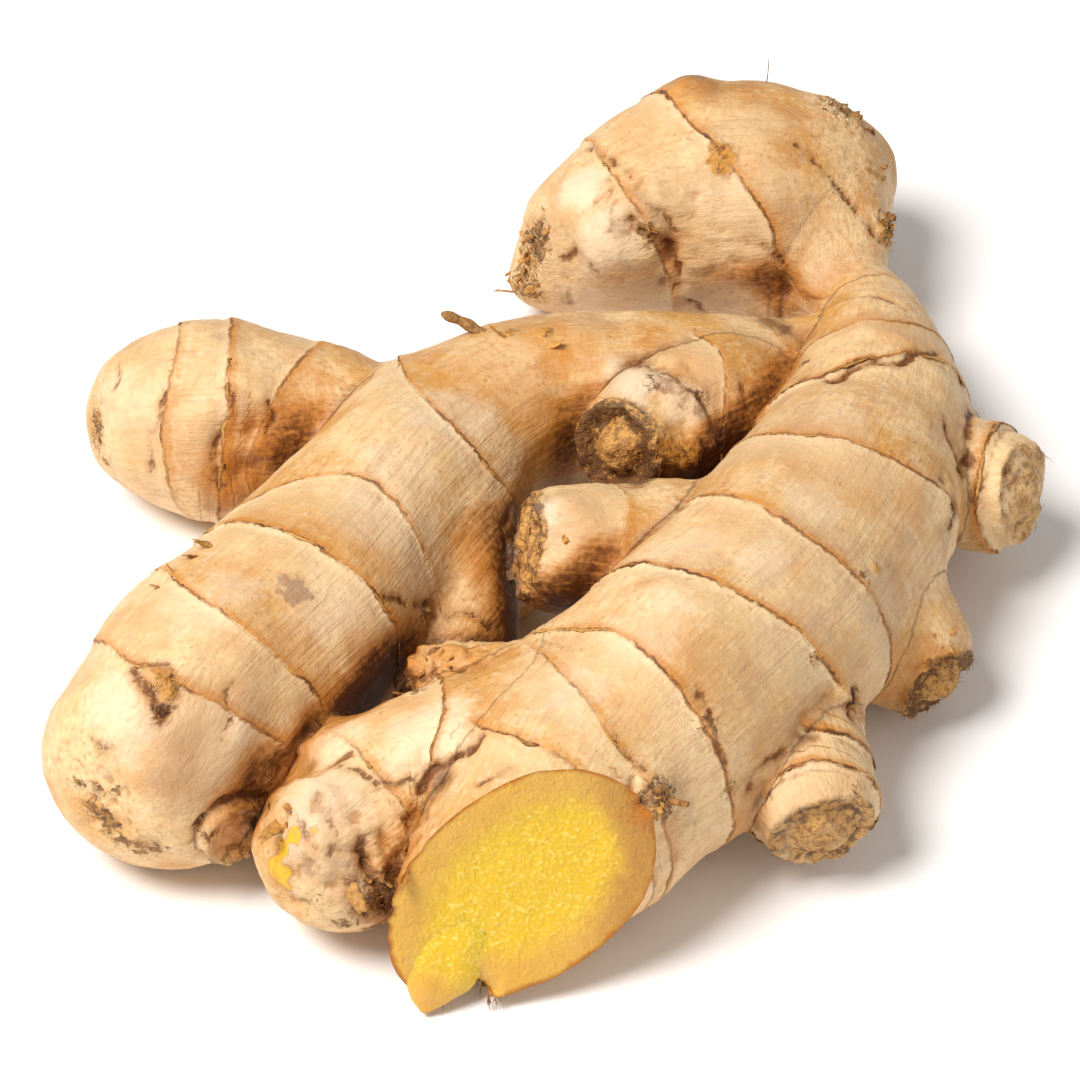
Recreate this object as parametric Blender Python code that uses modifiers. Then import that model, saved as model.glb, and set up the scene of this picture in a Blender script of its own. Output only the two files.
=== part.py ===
"""A fresh ginger rhizome: one solid root with three long fingers, short stubs and a knife-cut end.

Metres, +Z up. The root lies flat on the surface z = 0, as it would on a board. Its long axis runs
along Y with the cut end towards -Y, and the origin is below the middle of its outline.
Lengths below are in millimetres, measured from SKETCH_MIDDLE, and places along a finger are arc
lengths from its first station.
"""

import math

import bmesh
import bpy
import numpy as np
from mathutils import Vector

MM = 0.001

# driving sizes
SKETCH_MIDDLE = (2.9, 6.9)
REMESH_STEP = 1.05
FACE_BUDGET = 9000
RING_HEIGHT = 0.8
RING_RISE = 4.5
RING_DROP = 0.6
CUT_MIDDLE = (2.0, -66.5, 20.0)
CUT_NORMAL = (0.1, -0.93, 0.35)
UNEVENNESS = 0.4

# stations along each finger: x, y, height of the core, radius
FINGERS = {
    "main": [(48.5, 47, 13.5, 6), (48, 34, 14.5, 10.5), (46, 17.5, 15.5, 14), (40, 0.5, 17, 16.5),
             (32.5, -15.5, 18, 17.5), (24.5, -28, 18, 18), (16.5, -38.5, 18, 18), (9, -47.5, 17, 16.5),
             (2, -57.5, 17, 14.8), (-4, -68, 15.5, 13), (-8.5, -76, 13, 11), (-11.5, -80.5, 11, 9.5)],
    "side_lobe": [(7.5, -41, 16, 14.5), (-2.5, -45.5, 15, 14), (-11, -48, 14.5, 12.5),
                  (-19, -52, 13.5, 11.3), (-25, -57.5, 12.5, 10.8)],
    "side_bulge": [(-16, -47, 15, 10), (-23, -48.5, 15, 9)],
    "nub": [(-5, -35, 18, 6.5), (-10.5, -34, 19.5, 4.5), (-14, -33.5, 19.5, 3.5)],
    "knob": [(48, 46, 13.5, 6.5), (44, 54, 13.5, 7), (40.5, 62, 15.5, 10), (37, 68.5, 17, 13.5),
             (31.5, 71, 17, 17), (22, 70, 16.5, 16.5), (14, 68, 15, 13.5), (7.5, 66.5, 13, 10.5)],
    "scar_lump": [(15.5, 64, 18.5, 8.5), (13.5, 61.5, 18.5, 7.5)],
    "knob_chin": [(33, 66, 13, 11), (36, 60, 11, 8.5)],
    "knob_end": [(31, 68, 17, 15), (37, 71.5, 17, 13.5), (41, 75, 16.5, 11), (43.5, 77, 16, 9.5)],
    "knob_corner": [(7.5, 66.5, 10.5, 9), (2, 66, 7.5, 6.5)],
    "branch": [(46.5, 37, 13.5, 7.5), (37, 36, 14.5, 6), (30.5, 34, 14.5, 7.5), (21, 30.5, 14, 11),
               (10, 28.5, 14, 12.5), (-1.5, 26, 14, 13), (-11, 18, 14.5, 14), (-20, 4, 15.5, 15),
               (-27.5, -11.5, 16.5, 15.5), (-35.5, -25.5, 17, 16.5), (-43.5, -36.5, 16.8, 16.7),
               (-47.5, -43, 15.3, 15.5)],
    "shoulder": [(-15, 7.5, 13.5, 12), (-13, -3, 12, 10.5), (-12.5, -10.5, 11, 9.5),
                 (-11.5, -17.5, 9.5, 8.5)],
    "shoulder_side": [(-13, 0, 10, 9), (-5.5, -0.5, 8, 7.5)],
    "far_lobe": [(-12.5, 23.5, 13.5, 10), (-22.5, 24, 13, 8.5), (-31, 25, 13, 10.5),
                 (-40, 24.5, 13.5, 13), (-47, 24, 14, 14), (-52.5, 25.5, 12.5, 11.5)],
    "east_stub": [(51, 16.5, 11, 9), (58.5, 11, 13.5, 9), (63.5, 8, 15, 8)],
    "south_east_stub": [(43, -13, 13.5, 10.5), (48, -18, 11, 9), (51, -21.5, 9.5, 7)],
    "south_stub": [(30.5, -33, 13.5, 10), (33.5, -43.5, 13, 8.5), (35, -50, 12, 8)],
    "west_stub": [(17.5, -9, 17.5, 10.5), (10.5, -10.5, 20, 9), (5.5, -11.5, 21.5, 9),
                  (1.5, -12, 22.5, 8)],
    "inner_stub": [(31, 32, 13.5, 6.5), (25, 25.5, 15.5, 9.5), (18.5, 18.5, 17.5, 10),
                   (14, 12.5, 20, 8.5), (11.5, 9, 21.8, 7)],
    "bud": [(-43, -47, 12.5, 6.5), (-39.5, -53, 12, 5.6)],
}

# the reach in millimetres over which the foot of a finger melts into those above it
LEAST_MELT = 0.6
MELT = {"side_lobe": 5, "side_bulge": 3, "nub": 2.5, "knob": 3, "scar_lump": 4, "knob_chin": 5,
        "knob_end": 4, "knob_corner": 3, "shoulder_side": 5,
        "branch": 4, "shoulder": 6, "far_lobe": 6, "east_stub": 4, "south_east_stub": 4,
        "south_stub": 3.5, "west_stub": 3, "inner_stub": 3, "bud": 2.5}

# a stub broken off flat ends this far past its last station
FLAT_ENDS = {"east_stub": 4.5, "south_stub": 5.0, "west_stub": 4.5, "inner_stub": 3.0,
             "south_east_stub": 4.5, "bud": 3.2}
FLAT_ROUNDING = 3.0

# growth rings: finger, place, slant to the side, bow of the middle, share of RING_HEIGHT
RINGS = [
    ("main", 19, 0.2, 0.2, 0.7), ("main", 30, 0.65, 0.2, 1.0), ("main", 53.5, 0.1, 0.35, 0.8),
    ("main", 71, -0.1, 0.15, 0.9), ("main", 87, 0.2, 0.15, 1.0), ("main", 99.5, -0.05, -0.1, 0.9),
    ("main", 111.5, -0.4, 0.2, 0.6), ("main", 119, -0.1, 0.1, 0.5),
    ("side_lobe", 20, -0.5, -0.3, 0.8), ("side_lobe", 31, -0.1, 0.0, 0.6),
    ("knob", 41, 0.4, 0.1, 1.0), ("knob", 51.5, 0.15, 0.05, 0.7),
    ("branch", 14, 0.2, 0.1, 0.5), ("branch", 72, -0.65, 0.55, 0.9), ("branch", 93, 0.3, -0.5, 0.8),
    ("branch", 107.5, 0.05, 0.05, 1.0), ("branch", 123.5, -0.15, 0.35, 0.9),
    ("branch", 133.5, -0.1, 0.3, 0.8),
    ("far_lobe", 21, -0.45, -0.05, 0.8), ("far_lobe", 31.5, -0.1, 0.0, 1.1),
    ("far_lobe", 35.5, 0.1, -0.15, 0.5),
    ("west_stub", 9.5, -0.15, -0.05, 0.6), ("inner_stub", 12, -0.5, -0.3, 0.8),
    ("south_stub", 10, 0.0, -0.1, 0.8), ("south_stub", 16, -0.1, -0.25, 1.1),
    ("east_stub", 8, 0.15, 0.0, 0.7), ("east_stub", 15.5, 0.15, -0.05, 1.1),
    ("bud", 4, 0.0, 0.0, 0.9),
]

# scars, swellings and hollows: x, y, z, reach, height
BUMPS = [
    (14, 57, 25, 7, 1.7), (10, 57, 19, 5, 1.2), (19, 56, 22, 3, -1.1), (-1, 62, 16, 5, -1.1),
    (-3, 61, 8, 4, 1.5), (22, 75, 33, 5.5, 1.2), (44, 75, 30, 5, 1.2), (52, 60, 20, 4.5, 1.4),
    (54, 70, 16, 5, 1.2), (27, 61, 31, 3.5, -0.6),
    (-56, -56, 19, 5.5, -1.1), (-47.5, -48, 31, 3.5, 0.9), (-59, -44, 21, 6, 0.8),
    (-42, -54, 24, 7, 0.7), (15, -62, 26, 3.2, 0.9), (-24, -60, 21, 4.5, 1.1),
    (-29, -53, 22, 4.5, -0.8), (-18, -64, 17, 4.5, 0.8), (-32, -56, 14, 4.5, 0.9),
    (-63, 21, 15, 4.5, -0.8), (-42, 10, 16, 5, -0.6), (39, -39, 21, 3.5, 0.7),
    (54, -6, 23, 3.5, 0.6), (26, -55, 20, 3.5, -0.6),
]


def finger_line(stations, steps=5):
    """A smooth line through the stations as rows of x, y, z, radius, with the arc length of each row."""
    known = np.array(stations, float)
    ends = np.vstack([2 * known[0] - known[1], known, 2 * known[-1] - known[-2]])
    t = np.arange(steps)[:, None] / steps
    rows = []
    for a, b, c, d in zip(ends, ends[1:], ends[2:], ends[3:]):
        rows.append(0.5 * (2 * b + (c - a) * t + (2 * a - 5 * b + 4 * c - d) * t**2
                           + (3 * b - a - 3 * c + d) * t**3))
    line = np.vstack(rows + [known[-1:]])
    stride = np.linalg.norm(np.diff(line[:, :3], axis=0), axis=1)
    return line, np.concatenate([[0.0], np.cumsum(stride)])


LINES = {name: finger_line(stations) for name, stations in FINGERS.items()}


def frame_at(name, place):
    """Core point, direction and sideways unit vector of a finger at an arc length."""
    line, arc = LINES[name]
    at = lambda s: np.array([np.interp(s, arc, line[:, i]) for i in range(3)])
    place = min(max(place, 1.0), arc[-1] - 1.0)
    along = at(place + 1.0) - at(place - 1.0)
    along /= np.linalg.norm(along)
    upward = np.array([0.0, 0.0, 1.0]) - along[2] * along
    upward /= np.linalg.norm(upward)
    return at(place), along, np.cross(upward, along)


def finger_reach(points, name):
    """Distance of the points from one finger's skin, which is a chain of balls along its line."""
    line, _ = LINES[name]
    start, span = line[:-1], np.diff(line, axis=0)
    away = points[:, None, :] - start[None, :, :3]
    share = (away * span[:, :3]).sum(-1) / (span[:, :3] ** 2).sum(-1)
    share = np.clip(share, 0, 1)
    gap = np.linalg.norm(away - share[..., None] * span[:, :3], axis=-1)
    return (gap - start[:, 3] - share * span[:, 3]).min(axis=1)


def smooth_step(x):
    x = np.clip(x, 0, 1)
    return x * x * (3 - 2 * x)


def smooth_min(a, b, reach):
    near = np.maximum(reach - np.abs(a - b), 0) / reach
    return np.minimum(a, b) - near * near * reach / 4


def melt_reach(points, name):
    """A finger melts widely into its neighbours at its foot and hardly at all where it only passes them."""
    foot = np.array(FINGERS[name][0])
    spread = 1.2 * foot[3] + 6
    far = np.linalg.norm(points - foot[:3], axis=1) / spread
    return LEAST_MELT + (MELT[name] - LEAST_MELT) * np.exp(-far * far)


def flat_end(points, gap, name, past):
    """Cuts a stub's round tip to a flat scar with a soft rim."""
    tip, along, _ = frame_at(name, LINES[name][1][-1])
    level = (points - tip) @ along - past
    return -smooth_min(-gap, -level, FLAT_ROUNDING)


def ring_relief(points, name, place, slant, bow, share):
    """The skin swells up to a ring, drops at it and starts again a little lower."""
    middle, along, sideways = frame_at(name, place)
    line, arc = LINES[name]
    radius = np.interp(place, arc, line[:, 3])
    off = points - middle
    side = off @ sideways
    near = 1 - smooth_step((np.linalg.norm(off, axis=1) / radius - 1.5) / 0.6)
    past = off @ along + slant * side + bow * side * side / radius
    before = np.exp(np.minimum(past, 0) / RING_RISE) * (1 - smooth_step(past / RING_DROP))
    after = np.exp(-np.maximum(past, 0) / RING_RISE) * smooth_step(past / RING_DROP)
    return RING_HEIGHT * share * near * (before - 0.35 * after)


def unevenness(points):
    """Gentle waviness of the whole skin from a few slanted waves."""
    rng = np.random.default_rng(7)
    total = np.zeros(len(points))
    for _ in range(9):
        heading = rng.normal(size=3)
        heading /= np.linalg.norm(heading)
        wave_length = rng.uniform(14, 34)
        total += np.sin(points @ heading * 2 * math.pi / wave_length + rng.uniform(0, 2 * math.pi))
    return UNEVENNESS * total / 3


def skin_gap(points):
    """Signed distance to the skin of the whole rhizome, relief included."""
    gaps = {}
    relief = np.zeros(len(points))
    total = None
    for name in FINGERS:
        gap = finger_reach(points, name)
        if name in FLAT_ENDS:
            gap = flat_end(points, gap, name, FLAT_ENDS[name])
        gaps[name] = gap
        total = gap if total is None else smooth_min(total, gap, melt_reach(points, name))
    lowest = np.min(list(gaps.values()), axis=0)
    for name, place, slant, bow, share in RINGS:
        own = 1 - smooth_step((gaps[name] - lowest) / 2.5)
        relief += own * ring_relief(points, name, place, slant, bow, share)
    for x, y, z, reach, height in BUMPS:
        far = ((points - (x, y, z)) ** 2).sum(1) / reach**2
        relief += height * np.exp(-far)
    return total - relief - unevenness(points)


def in_slices(function, points, size=12000):
    return np.concatenate([function(points[i:i + size]) for i in range(0, len(points), size)])


def settle(points, rounds=3):
    """Moves the points onto the skin by Newton steps along the slope of the distance."""
    h = 0.05
    for _ in range(rounds):
        gap = in_slices(skin_gap, points)
        slope = np.stack([(in_slices(skin_gap, points + h * axis) - gap) / h for axis in np.eye(3)], axis=1)
        length = np.maximum((slope**2).sum(1), 0.25)
        move = np.clip(gap / length, -2.5, 2.5)
        points = points - move[:, None] * slope
    return points


def material(name, colour, roughness):
    made = bpy.data.materials.new(name)
    made.use_nodes = True
    shader = made.node_tree.nodes["Principled BSDF"]
    shader.inputs["Base Color"].default_value = (*colour, 1.0)
    shader.inputs["Roughness"].default_value = roughness
    shader.inputs["Metallic"].default_value = 0.0
    made.diffuse_color = (*colour, 1.0)
    return made


def clear_scene():
    for old in list(bpy.data.objects):
        bpy.data.objects.remove(old, do_unlink=True)


def collection(name):
    made = bpy.data.collections.new(name)
    bpy.context.scene.collection.children.link(made)
    return made


def finger_tube(name, folder):
    """A finger as a curve with a round bevel that follows its radius, and a rounded tip at each end."""
    line, _ = LINES[name]
    heads = []
    for row, beyond in ((line[0], line[0] - line[1]), (line[-1], line[-1] - line[-2])):
        direction = beyond[:3] / np.linalg.norm(beyond[:3])
        arcs = [(row[3] * math.sin(a), row[3] * math.cos(a)) for a in (0.5, 0.9, 1.2, 1.4)]
        heads.append([(*(row[:3] + out * direction), radius) for out, radius in arcs])
    if name in FLAT_ENDS:
        heads[1] = heads[1][:1]
    rows = np.vstack([np.array(heads[0][::-1]), line, np.array(heads[1])])
    data = bpy.data.curves.new(name, "CURVE")
    data.dimensions = "3D"
    data.bevel_depth = MM
    data.bevel_resolution = 4
    data.use_fill_caps = True
    spline = data.splines.new("POLY")
    spline.points.add(len(rows) - 1)
    for point, (x, y, z, radius) in zip(spline.points, rows):
        point.co = (x * MM, y * MM, z * MM, 1.0)
        point.radius = radius
    tube = bpy.data.objects.new(name, data)
    folder.objects.link(tube)
    return tube


def joined_mesh(objects, name):
    """One mesh that holds a copy of each object's evaluated shape, with the curves' caps welded."""
    bpy.context.view_layer.update()
    graph = bpy.context.evaluated_depsgraph_get()
    together = bmesh.new()
    for one in objects:
        shape = bpy.data.meshes.new_from_object(one.evaluated_get(graph))
        together.from_mesh(shape)
        bpy.data.meshes.remove(shape)
    bmesh.ops.remove_doubles(together, verts=together.verts, dist=1e-5)
    mesh = bpy.data.meshes.new(name)
    together.to_mesh(mesh)
    together.free()
    return mesh


def half_space(name, middle, normal, size, folder, paint):
    """A cube with its bottom face in the cutting plane, reaching out along the normal."""
    bpy.ops.mesh.primitive_cube_add(size=size * MM)
    block = bpy.context.object
    block.name = name
    facing = np.array(normal, float)
    facing /= np.linalg.norm(facing)
    block.rotation_mode = "QUATERNION"
    block.rotation_quaternion = to_vector(facing).to_track_quat("Z", "Y")
    block.location = to_vector(on_board(np.array(middle, float)) + facing * size / 2) * MM
    return as_cutter(block, folder, paint)


def to_vector(values):
    return Vector([float(value) for value in values])


def on_board(point):
    """A sketch place moved into the part's own frame, still in millimetres."""
    return point - np.array([SKETCH_MIDDLE[0], SKETCH_MIDDLE[1], 0.0])


def as_cutter(block, folder, paint):
    for old in list(block.users_collection):
        old.objects.unlink(block)
    folder.objects.link(block)
    block.data.materials.append(paint)
    block.hide_render = True
    block.display_type = "WIRE"
    return block


def pebble(name, middle, half_sizes, turn, folder, paint):
    """A stretched ball, used for the torn bit of flesh and for the bite beside it."""
    bpy.ops.mesh.primitive_uv_sphere_add(segments=20, ring_count=12, radius=MM)
    ball = bpy.context.object
    ball.name = name
    ball.scale = half_sizes
    ball.rotation_euler = [math.radians(angle) for angle in turn]
    ball.location = to_vector(on_board(np.array(middle, float))) * MM
    return as_cutter(ball, folder, paint)


def boolean(target, name, operation, other):
    cut = target.modifiers.new(name, "BOOLEAN")
    cut.operation = operation
    cut.solver = "EXACT"
    cut.material_mode = "TRANSFER"
    cut.object = other
    return cut


def rhizome(folder, helpers, skin, flesh):
    """The fingers as tubes, fused to one skin, drawn onto the relief and then cut."""
    tubes = [finger_tube(name, helpers) for name in FINGERS]
    root = bpy.data.objects.new("rhizome", joined_mesh(tubes, "rhizome"))
    folder.objects.link(root)
    for tube in tubes:
        bpy.data.objects.remove(tube, do_unlink=True)

    fuse = root.modifiers.new("fuse", "REMESH")
    fuse.mode = "VOXEL"
    fuse.voxel_size = REMESH_STEP * MM
    bpy.context.view_layer.update()
    graph = bpy.context.evaluated_depsgraph_get()
    fused = bpy.data.meshes.new_from_object(root.evaluated_get(graph))
    root.modifiers.clear()
    root.data = fused
    places = np.empty(len(fused.vertices) * 3)
    fused.vertices.foreach_get("co", places)
    places = settle(places.reshape(-1, 3) / MM) - (SKETCH_MIDDLE[0], SKETCH_MIDDLE[1], 0.0)
    fused.vertices.foreach_set("co", (places * MM).ravel())
    fused.materials.clear()
    fused.materials.append(skin)
    fused.shade_smooth()
    fused.update()

    thin = root.modifiers.new("thin", "DECIMATE")
    thin.decimate_type = "COLLAPSE"
    thin.ratio = FACE_BUDGET / (2 * len(fused.polygons))

    knife = half_space("knife", CUT_MIDDLE, CUT_NORMAL, 120, helpers, flesh)
    chip = pebble("chip", (-36.5, -65.0, 12.0), (4.5, 4.0, 6.0), (0, 0, 40), helpers, flesh)
    tongue = pebble("tongue", (-13.5, -71.0, 6.0), (6.0, 3.2, 6.5), (0, 25, 20), helpers, flesh)
    bite = pebble("bite", (-9.0, -75.5, 1.5), (2.8, 4.5, 4.0), (0, 0, 10), helpers, flesh)
    board = half_space("board", (0, 0, 0), (0, 0, -1), 300, helpers, skin)
    boolean(root, "knife cut", "DIFFERENCE", knife)
    boolean(root, "chip", "DIFFERENCE", chip)
    boolean(root, "torn flesh", "UNION", tongue)
    boolean(root, "bite", "DIFFERENCE", bite)
    boolean(root, "resting flats", "DIFFERENCE", board)
    return root


def main():
    clear_scene()
    folder = collection("ginger root")
    helpers = collection("cutters")
    skin = material("ginger skin", (0.62, 0.40, 0.19), 0.62)
    flesh = material("ginger flesh", (0.82, 0.55, 0.10), 0.42)
    rhizome(folder, helpers, skin, flesh)


main()
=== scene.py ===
import math

import bmesh
import bpy
import numpy as np
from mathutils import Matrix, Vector, noise
from mathutils.bvhtree import BVHTree
from mathutils.geometry import delaunay_2d_cdt


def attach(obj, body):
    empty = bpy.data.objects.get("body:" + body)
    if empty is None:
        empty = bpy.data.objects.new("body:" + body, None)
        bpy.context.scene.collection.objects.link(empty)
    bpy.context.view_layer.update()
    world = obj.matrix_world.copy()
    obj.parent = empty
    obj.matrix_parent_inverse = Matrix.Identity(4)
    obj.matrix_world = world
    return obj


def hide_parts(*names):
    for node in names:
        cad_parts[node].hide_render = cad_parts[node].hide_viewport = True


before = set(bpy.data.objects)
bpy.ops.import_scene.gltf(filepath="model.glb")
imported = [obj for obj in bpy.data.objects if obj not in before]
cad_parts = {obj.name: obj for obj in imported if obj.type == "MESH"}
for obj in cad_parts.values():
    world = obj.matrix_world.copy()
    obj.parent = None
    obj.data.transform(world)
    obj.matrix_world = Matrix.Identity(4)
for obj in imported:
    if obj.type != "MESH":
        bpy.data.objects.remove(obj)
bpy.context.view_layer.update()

# the root is sketched in millimetres and moved so that the frame's origin is under its middle
mm = 0.001
sketchMiddle = np.array([2.9, 6.9, 0.0])
farAway = 60.0

# stations along each finger: x, y, height of the core, radius
fingers = {
    "main": [(48.5, 47, 13.5, 6), (48, 34, 14.5, 10.5), (46, 17.5, 15.5, 14), (40, 0.5, 17, 16.5),
             (32.5, -15.5, 18, 17.5), (24.5, -28, 18, 18), (16.5, -38.5, 18, 18), (9, -47.5, 17, 16.5),
             (2, -57.5, 17, 14.8), (-4, -68, 15.5, 13), (-8.5, -76, 13, 11), (-11.5, -80.5, 11, 9.5)],
    "sideLobe": [(7.5, -41, 16, 14.5), (-2.5, -45.5, 15, 14), (-11, -48, 14.5, 12.5),
                 (-19, -52, 13.5, 11.3), (-25, -57.5, 12.5, 10.8)],
    "sideBulge": [(-16, -47, 15, 10), (-23, -48.5, 15, 9)],
    "nub": [(-5, -35, 18, 6.5), (-10.5, -34, 19.5, 4.5), (-14, -33.5, 19.5, 3.5)],
    "knob": [(48, 46, 13.5, 6.5), (44, 54, 13.5, 7), (40.5, 62, 15.5, 10), (37, 68.5, 17, 13.5),
             (31.5, 71, 17, 17), (22, 70, 16.5, 16.5), (14, 68, 15, 13.5), (7.5, 66.5, 13, 10.5)],
    "scarLump": [(15.5, 64, 18.5, 8.5), (13.5, 61.5, 18.5, 7.5)],
    "knobChin": [(33, 66, 13, 11), (36, 60, 11, 8.5)],
    "knobEnd": [(31, 68, 17, 15), (37, 71.5, 17, 13.5), (41, 75, 16.5, 11), (43.5, 77, 16, 9.5)],
    "knobCorner": [(7.5, 66.5, 10.5, 9), (2, 66, 7.5, 6.5)],
    "branch": [(46.5, 37, 13.5, 7.5), (37, 36, 14.5, 6), (30.5, 34, 14.5, 7.5), (21, 30.5, 14, 11),
               (10, 28.5, 14, 12.5), (-1.5, 26, 14, 13), (-11, 18, 14.5, 14), (-20, 4, 15.5, 15),
               (-27.5, -11.5, 16.5, 15.5), (-35.5, -25.5, 17, 16.5), (-43.5, -36.5, 16.8, 16.7),
               (-47.5, -43, 15.3, 15.5)],
    "shoulder": [(-15, 7.5, 13.5, 12), (-13, -3, 12, 10.5), (-12.5, -10.5, 11, 9.5),
                 (-11.5, -17.5, 9.5, 8.5)],
    "shoulderSide": [(-13, 0, 10, 9), (-5.5, -0.5, 8, 7.5)],
    "farLobe": [(-12.5, 23.5, 13.5, 10), (-22.5, 24, 13, 8.5), (-31, 25, 13, 10.5),
                (-40, 24.5, 13.5, 13), (-47, 24, 14, 14), (-52.5, 25.5, 12.5, 11.5)],
    "eastStub": [(51, 16.5, 11, 9), (58.5, 11, 13.5, 9), (63.5, 8, 15, 8)],
    "southEastStub": [(43, -13, 13.5, 10.5), (48, -18, 11, 9), (51, -21.5, 9.5, 7)],
    "southStub": [(30.5, -33, 13.5, 10), (33.5, -43.5, 13, 8.5), (35, -50, 12, 8)],
    "westStub": [(17.5, -9, 17.5, 10.5), (10.5, -10.5, 20, 9), (5.5, -11.5, 21.5, 9),
                 (1.5, -12, 22.5, 8)],
    "innerStub": [(31, 32, 13.5, 6.5), (25, 25.5, 15.5, 9.5), (18.5, 18.5, 17.5, 10),
                  (14, 12.5, 20, 8.5), (11.5, 9, 21.8, 7)],
    "bud": [(-43, -47, 12.5, 6.5), (-39.5, -53, 12, 5.6)],
}

# how widely the foot of a finger melts into those above it, and where a broken stub ends flat
leastMelt = 0.6
melt = {"sideLobe": 5, "sideBulge": 3, "nub": 2.5, "knob": 3, "scarLump": 4, "knobChin": 5,
        "knobEnd": 4, "knobCorner": 3, "shoulderSide": 5,
        "branch": 4, "shoulder": 6, "farLobe": 6, "eastStub": 4, "southEastStub": 4,
        "southStub": 3.5, "westStub": 3, "innerStub": 3, "bud": 2.5}
flatEnds = {"eastStub": 4.5, "southStub": 5.0, "westStub": 4.5, "innerStub": 3.0,
            "southEastStub": 4.5, "bud": 3.2}
flatRounding = 3.0

# swellings of a larger finger, whose fibres follow that finger
swellingOf = {"sideBulge": "sideLobe", "scarLump": "knob", "knobChin": "knob", "knobEnd": "knob",
              "knobCorner": "knob", "shoulder": "branch", "shoulderSide": "branch"}

# the broken ends: middle swelling, groove round it, rim, folds in millimetres, how dark the groove is and
# how much of the end has lost its skin
endLook = {
    "innerStub": (1.9, 1.5, 1.0, 0.7, 1.0, 1.0), "westStub": (0.9, 0.2, 0.2, 1.2, 0.5, 0.85),
    "eastStub": (1.0, 0.3, 0.3, 0.6, 0.35, 0.5), "southEastStub": (0.8, 0.8, 0.7, 1.1, 0.9, 0.9),
    "southStub": (1.6, 0.9, 0.7, 0.5, 0.55, 0.65), "bud": (0.3, 0.5, 0.6, 0.4, 0.3, 0.5),
}

bodyLook = {
    "voxel": 0.77,  # edge of the fine mesh
    "quickVoxel": 1.3,
    "ringHeight": 0.36,
    "ringRise": 4.5,
    "ringDrop": 0.8,
    "waviness": 0.4,
    "lumps": 0.3,  # small swellings about 5 mm wide
    "pitting": 0.07,
    "bandLength": 7.0,  # the fresh cream skin past each ring
}

# growth rings: finger, place, slant to the side, bow of the middle, strength, torn scale left on it
rings = [
    ("main", 19, 0.2, 0.2, 0.7, 0.6), ("main", 30, 0.65, 0.2, 1.3, 2.0),
    ("main", 53.5, 0.1, 0.35, 0.8, 0.7), ("main", 71, -0.1, 0.15, 0.9, 0.9),
    ("main", 87, 0.2, 0.15, 1.0, 1.4), ("main", 99.5, -0.05, -0.1, 0.9, 0.9),
    ("main", 111.5, -0.4, 0.2, 0.6, 1.6), ("main", 119, -0.1, 0.1, 0.5, 1.0),
    ("sideLobe", 20, -0.5, -0.3, 0.8, 1.0), ("sideLobe", 31, -0.1, 0.0, 0.6, 1.2),
    ("knob", 41, 0.4, 0.1, 1.0, 0.9), ("knob", 51.5, 0.15, 0.05, 0.7, 0.6),
    ("branch", 14, 0.2, 0.1, 0.5, 0.8), ("branch", 72, -0.65, 0.55, 0.9, 1.2),
    ("branch", 93, 0.3, -0.5, 0.8, 0.8), ("branch", 107.5, 0.05, 0.05, 1.0, 1.0),
    ("branch", 123.5, -0.15, 0.35, 0.9, 0.8), ("branch", 133.5, -0.1, 0.3, 0.8, 0.9),
    ("farLobe", 21, -0.45, -0.05, 0.8, 0.8), ("farLobe", 31.5, -0.1, 0.0, 1.1, 1.0),
    ("farLobe", 35.5, 0.1, -0.15, 0.5, 0.8),
    ("westStub", 9.5, -0.15, -0.05, 0.6, 0.8), ("innerStub", 12, -0.5, -0.3, 0.8, 0.8),
    ("southStub", 7.5, 0.0, -0.1, 1.2, 0.6), ("southStub", 12, -0.1, -0.1, 1.6, 0.8),
    ("southStub", 17, -0.1, -0.25, 2.0, 1.0),
    ("eastStub", 8, 0.15, 0.0, 1.6, 1.0), ("eastStub", 15.5, 0.15, -0.05, 1.9, 1.2),
    ("bud", 4, 0.0, 0.0, 0.9, 1.6),
]

# swellings and hollows: x, y, z, reach, height
bumps = [
    (14, 57, 25, 7, 1.7), (10, 57, 19, 5, 1.2), (19, 56, 22, 3, -1.1), (-1, 62, 16, 5, -1.1),
    (-3, 61, 8, 4, 1.5), (22, 75, 33, 5.5, 1.2), (44, 75, 30, 5, 1.2), (52, 60, 20, 4.5, 1.4),
    (54, 70, 16, 5, 1.2), (27, 61, 31, 3.5, -0.6),
    (-56, -56, 19, 5.5, -1.1), (-47.5, -48, 31, 3.5, 0.9), (-59, -44, 21, 6, 0.8),
    (-42, -54, 24, 7, 0.7), (15, -62, 26, 3.2, 0.9), (-24, -60, 21, 4.5, 1.1),
    (-29, -53, 22, 4.5, -0.8), (-18, -64, 17, 4.5, 0.8), (-32, -56, 14, 4.5, 0.9),
    (-63, 21, 15, 4.5, -0.8), (-42, 10, 16, 5, -0.6), (39, -39, 21, 3.5, 0.7),
    (54, -6, 23, 3.5, 0.6), (26, -55, 20, 3.5, -0.6),
]

# torn and corky places: x, y, z, reach, strength, roughness of the torn surface in millimetres
tornPlaces = [
    (14.9, -62.4, 26.1, 3.2, 1.0, 0.7),
    (-1.2, 61.6, 16.3, 4.6, 0.8, 1.5), (-1.5, 60.2, 9.9, 3.5, 0.7, 1.1),
    (43.9, 74.8, 29.7, 4.2, 0.6, 1.2), (52.3, 59.5, 19.8, 4.4, 0.7, 1.4),
    (-62.7, 21, 15.4, 3.6, 0.8, 0.6),
    (-19.6, -68, 14, 4.5, 0.9, 0.8), (20.9, -52.9, 29.5, 1.8, 0.6, 0.2),
    (-15.1, -21.1, 19.4, 2.0, 0.7, 0.3),
]

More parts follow.
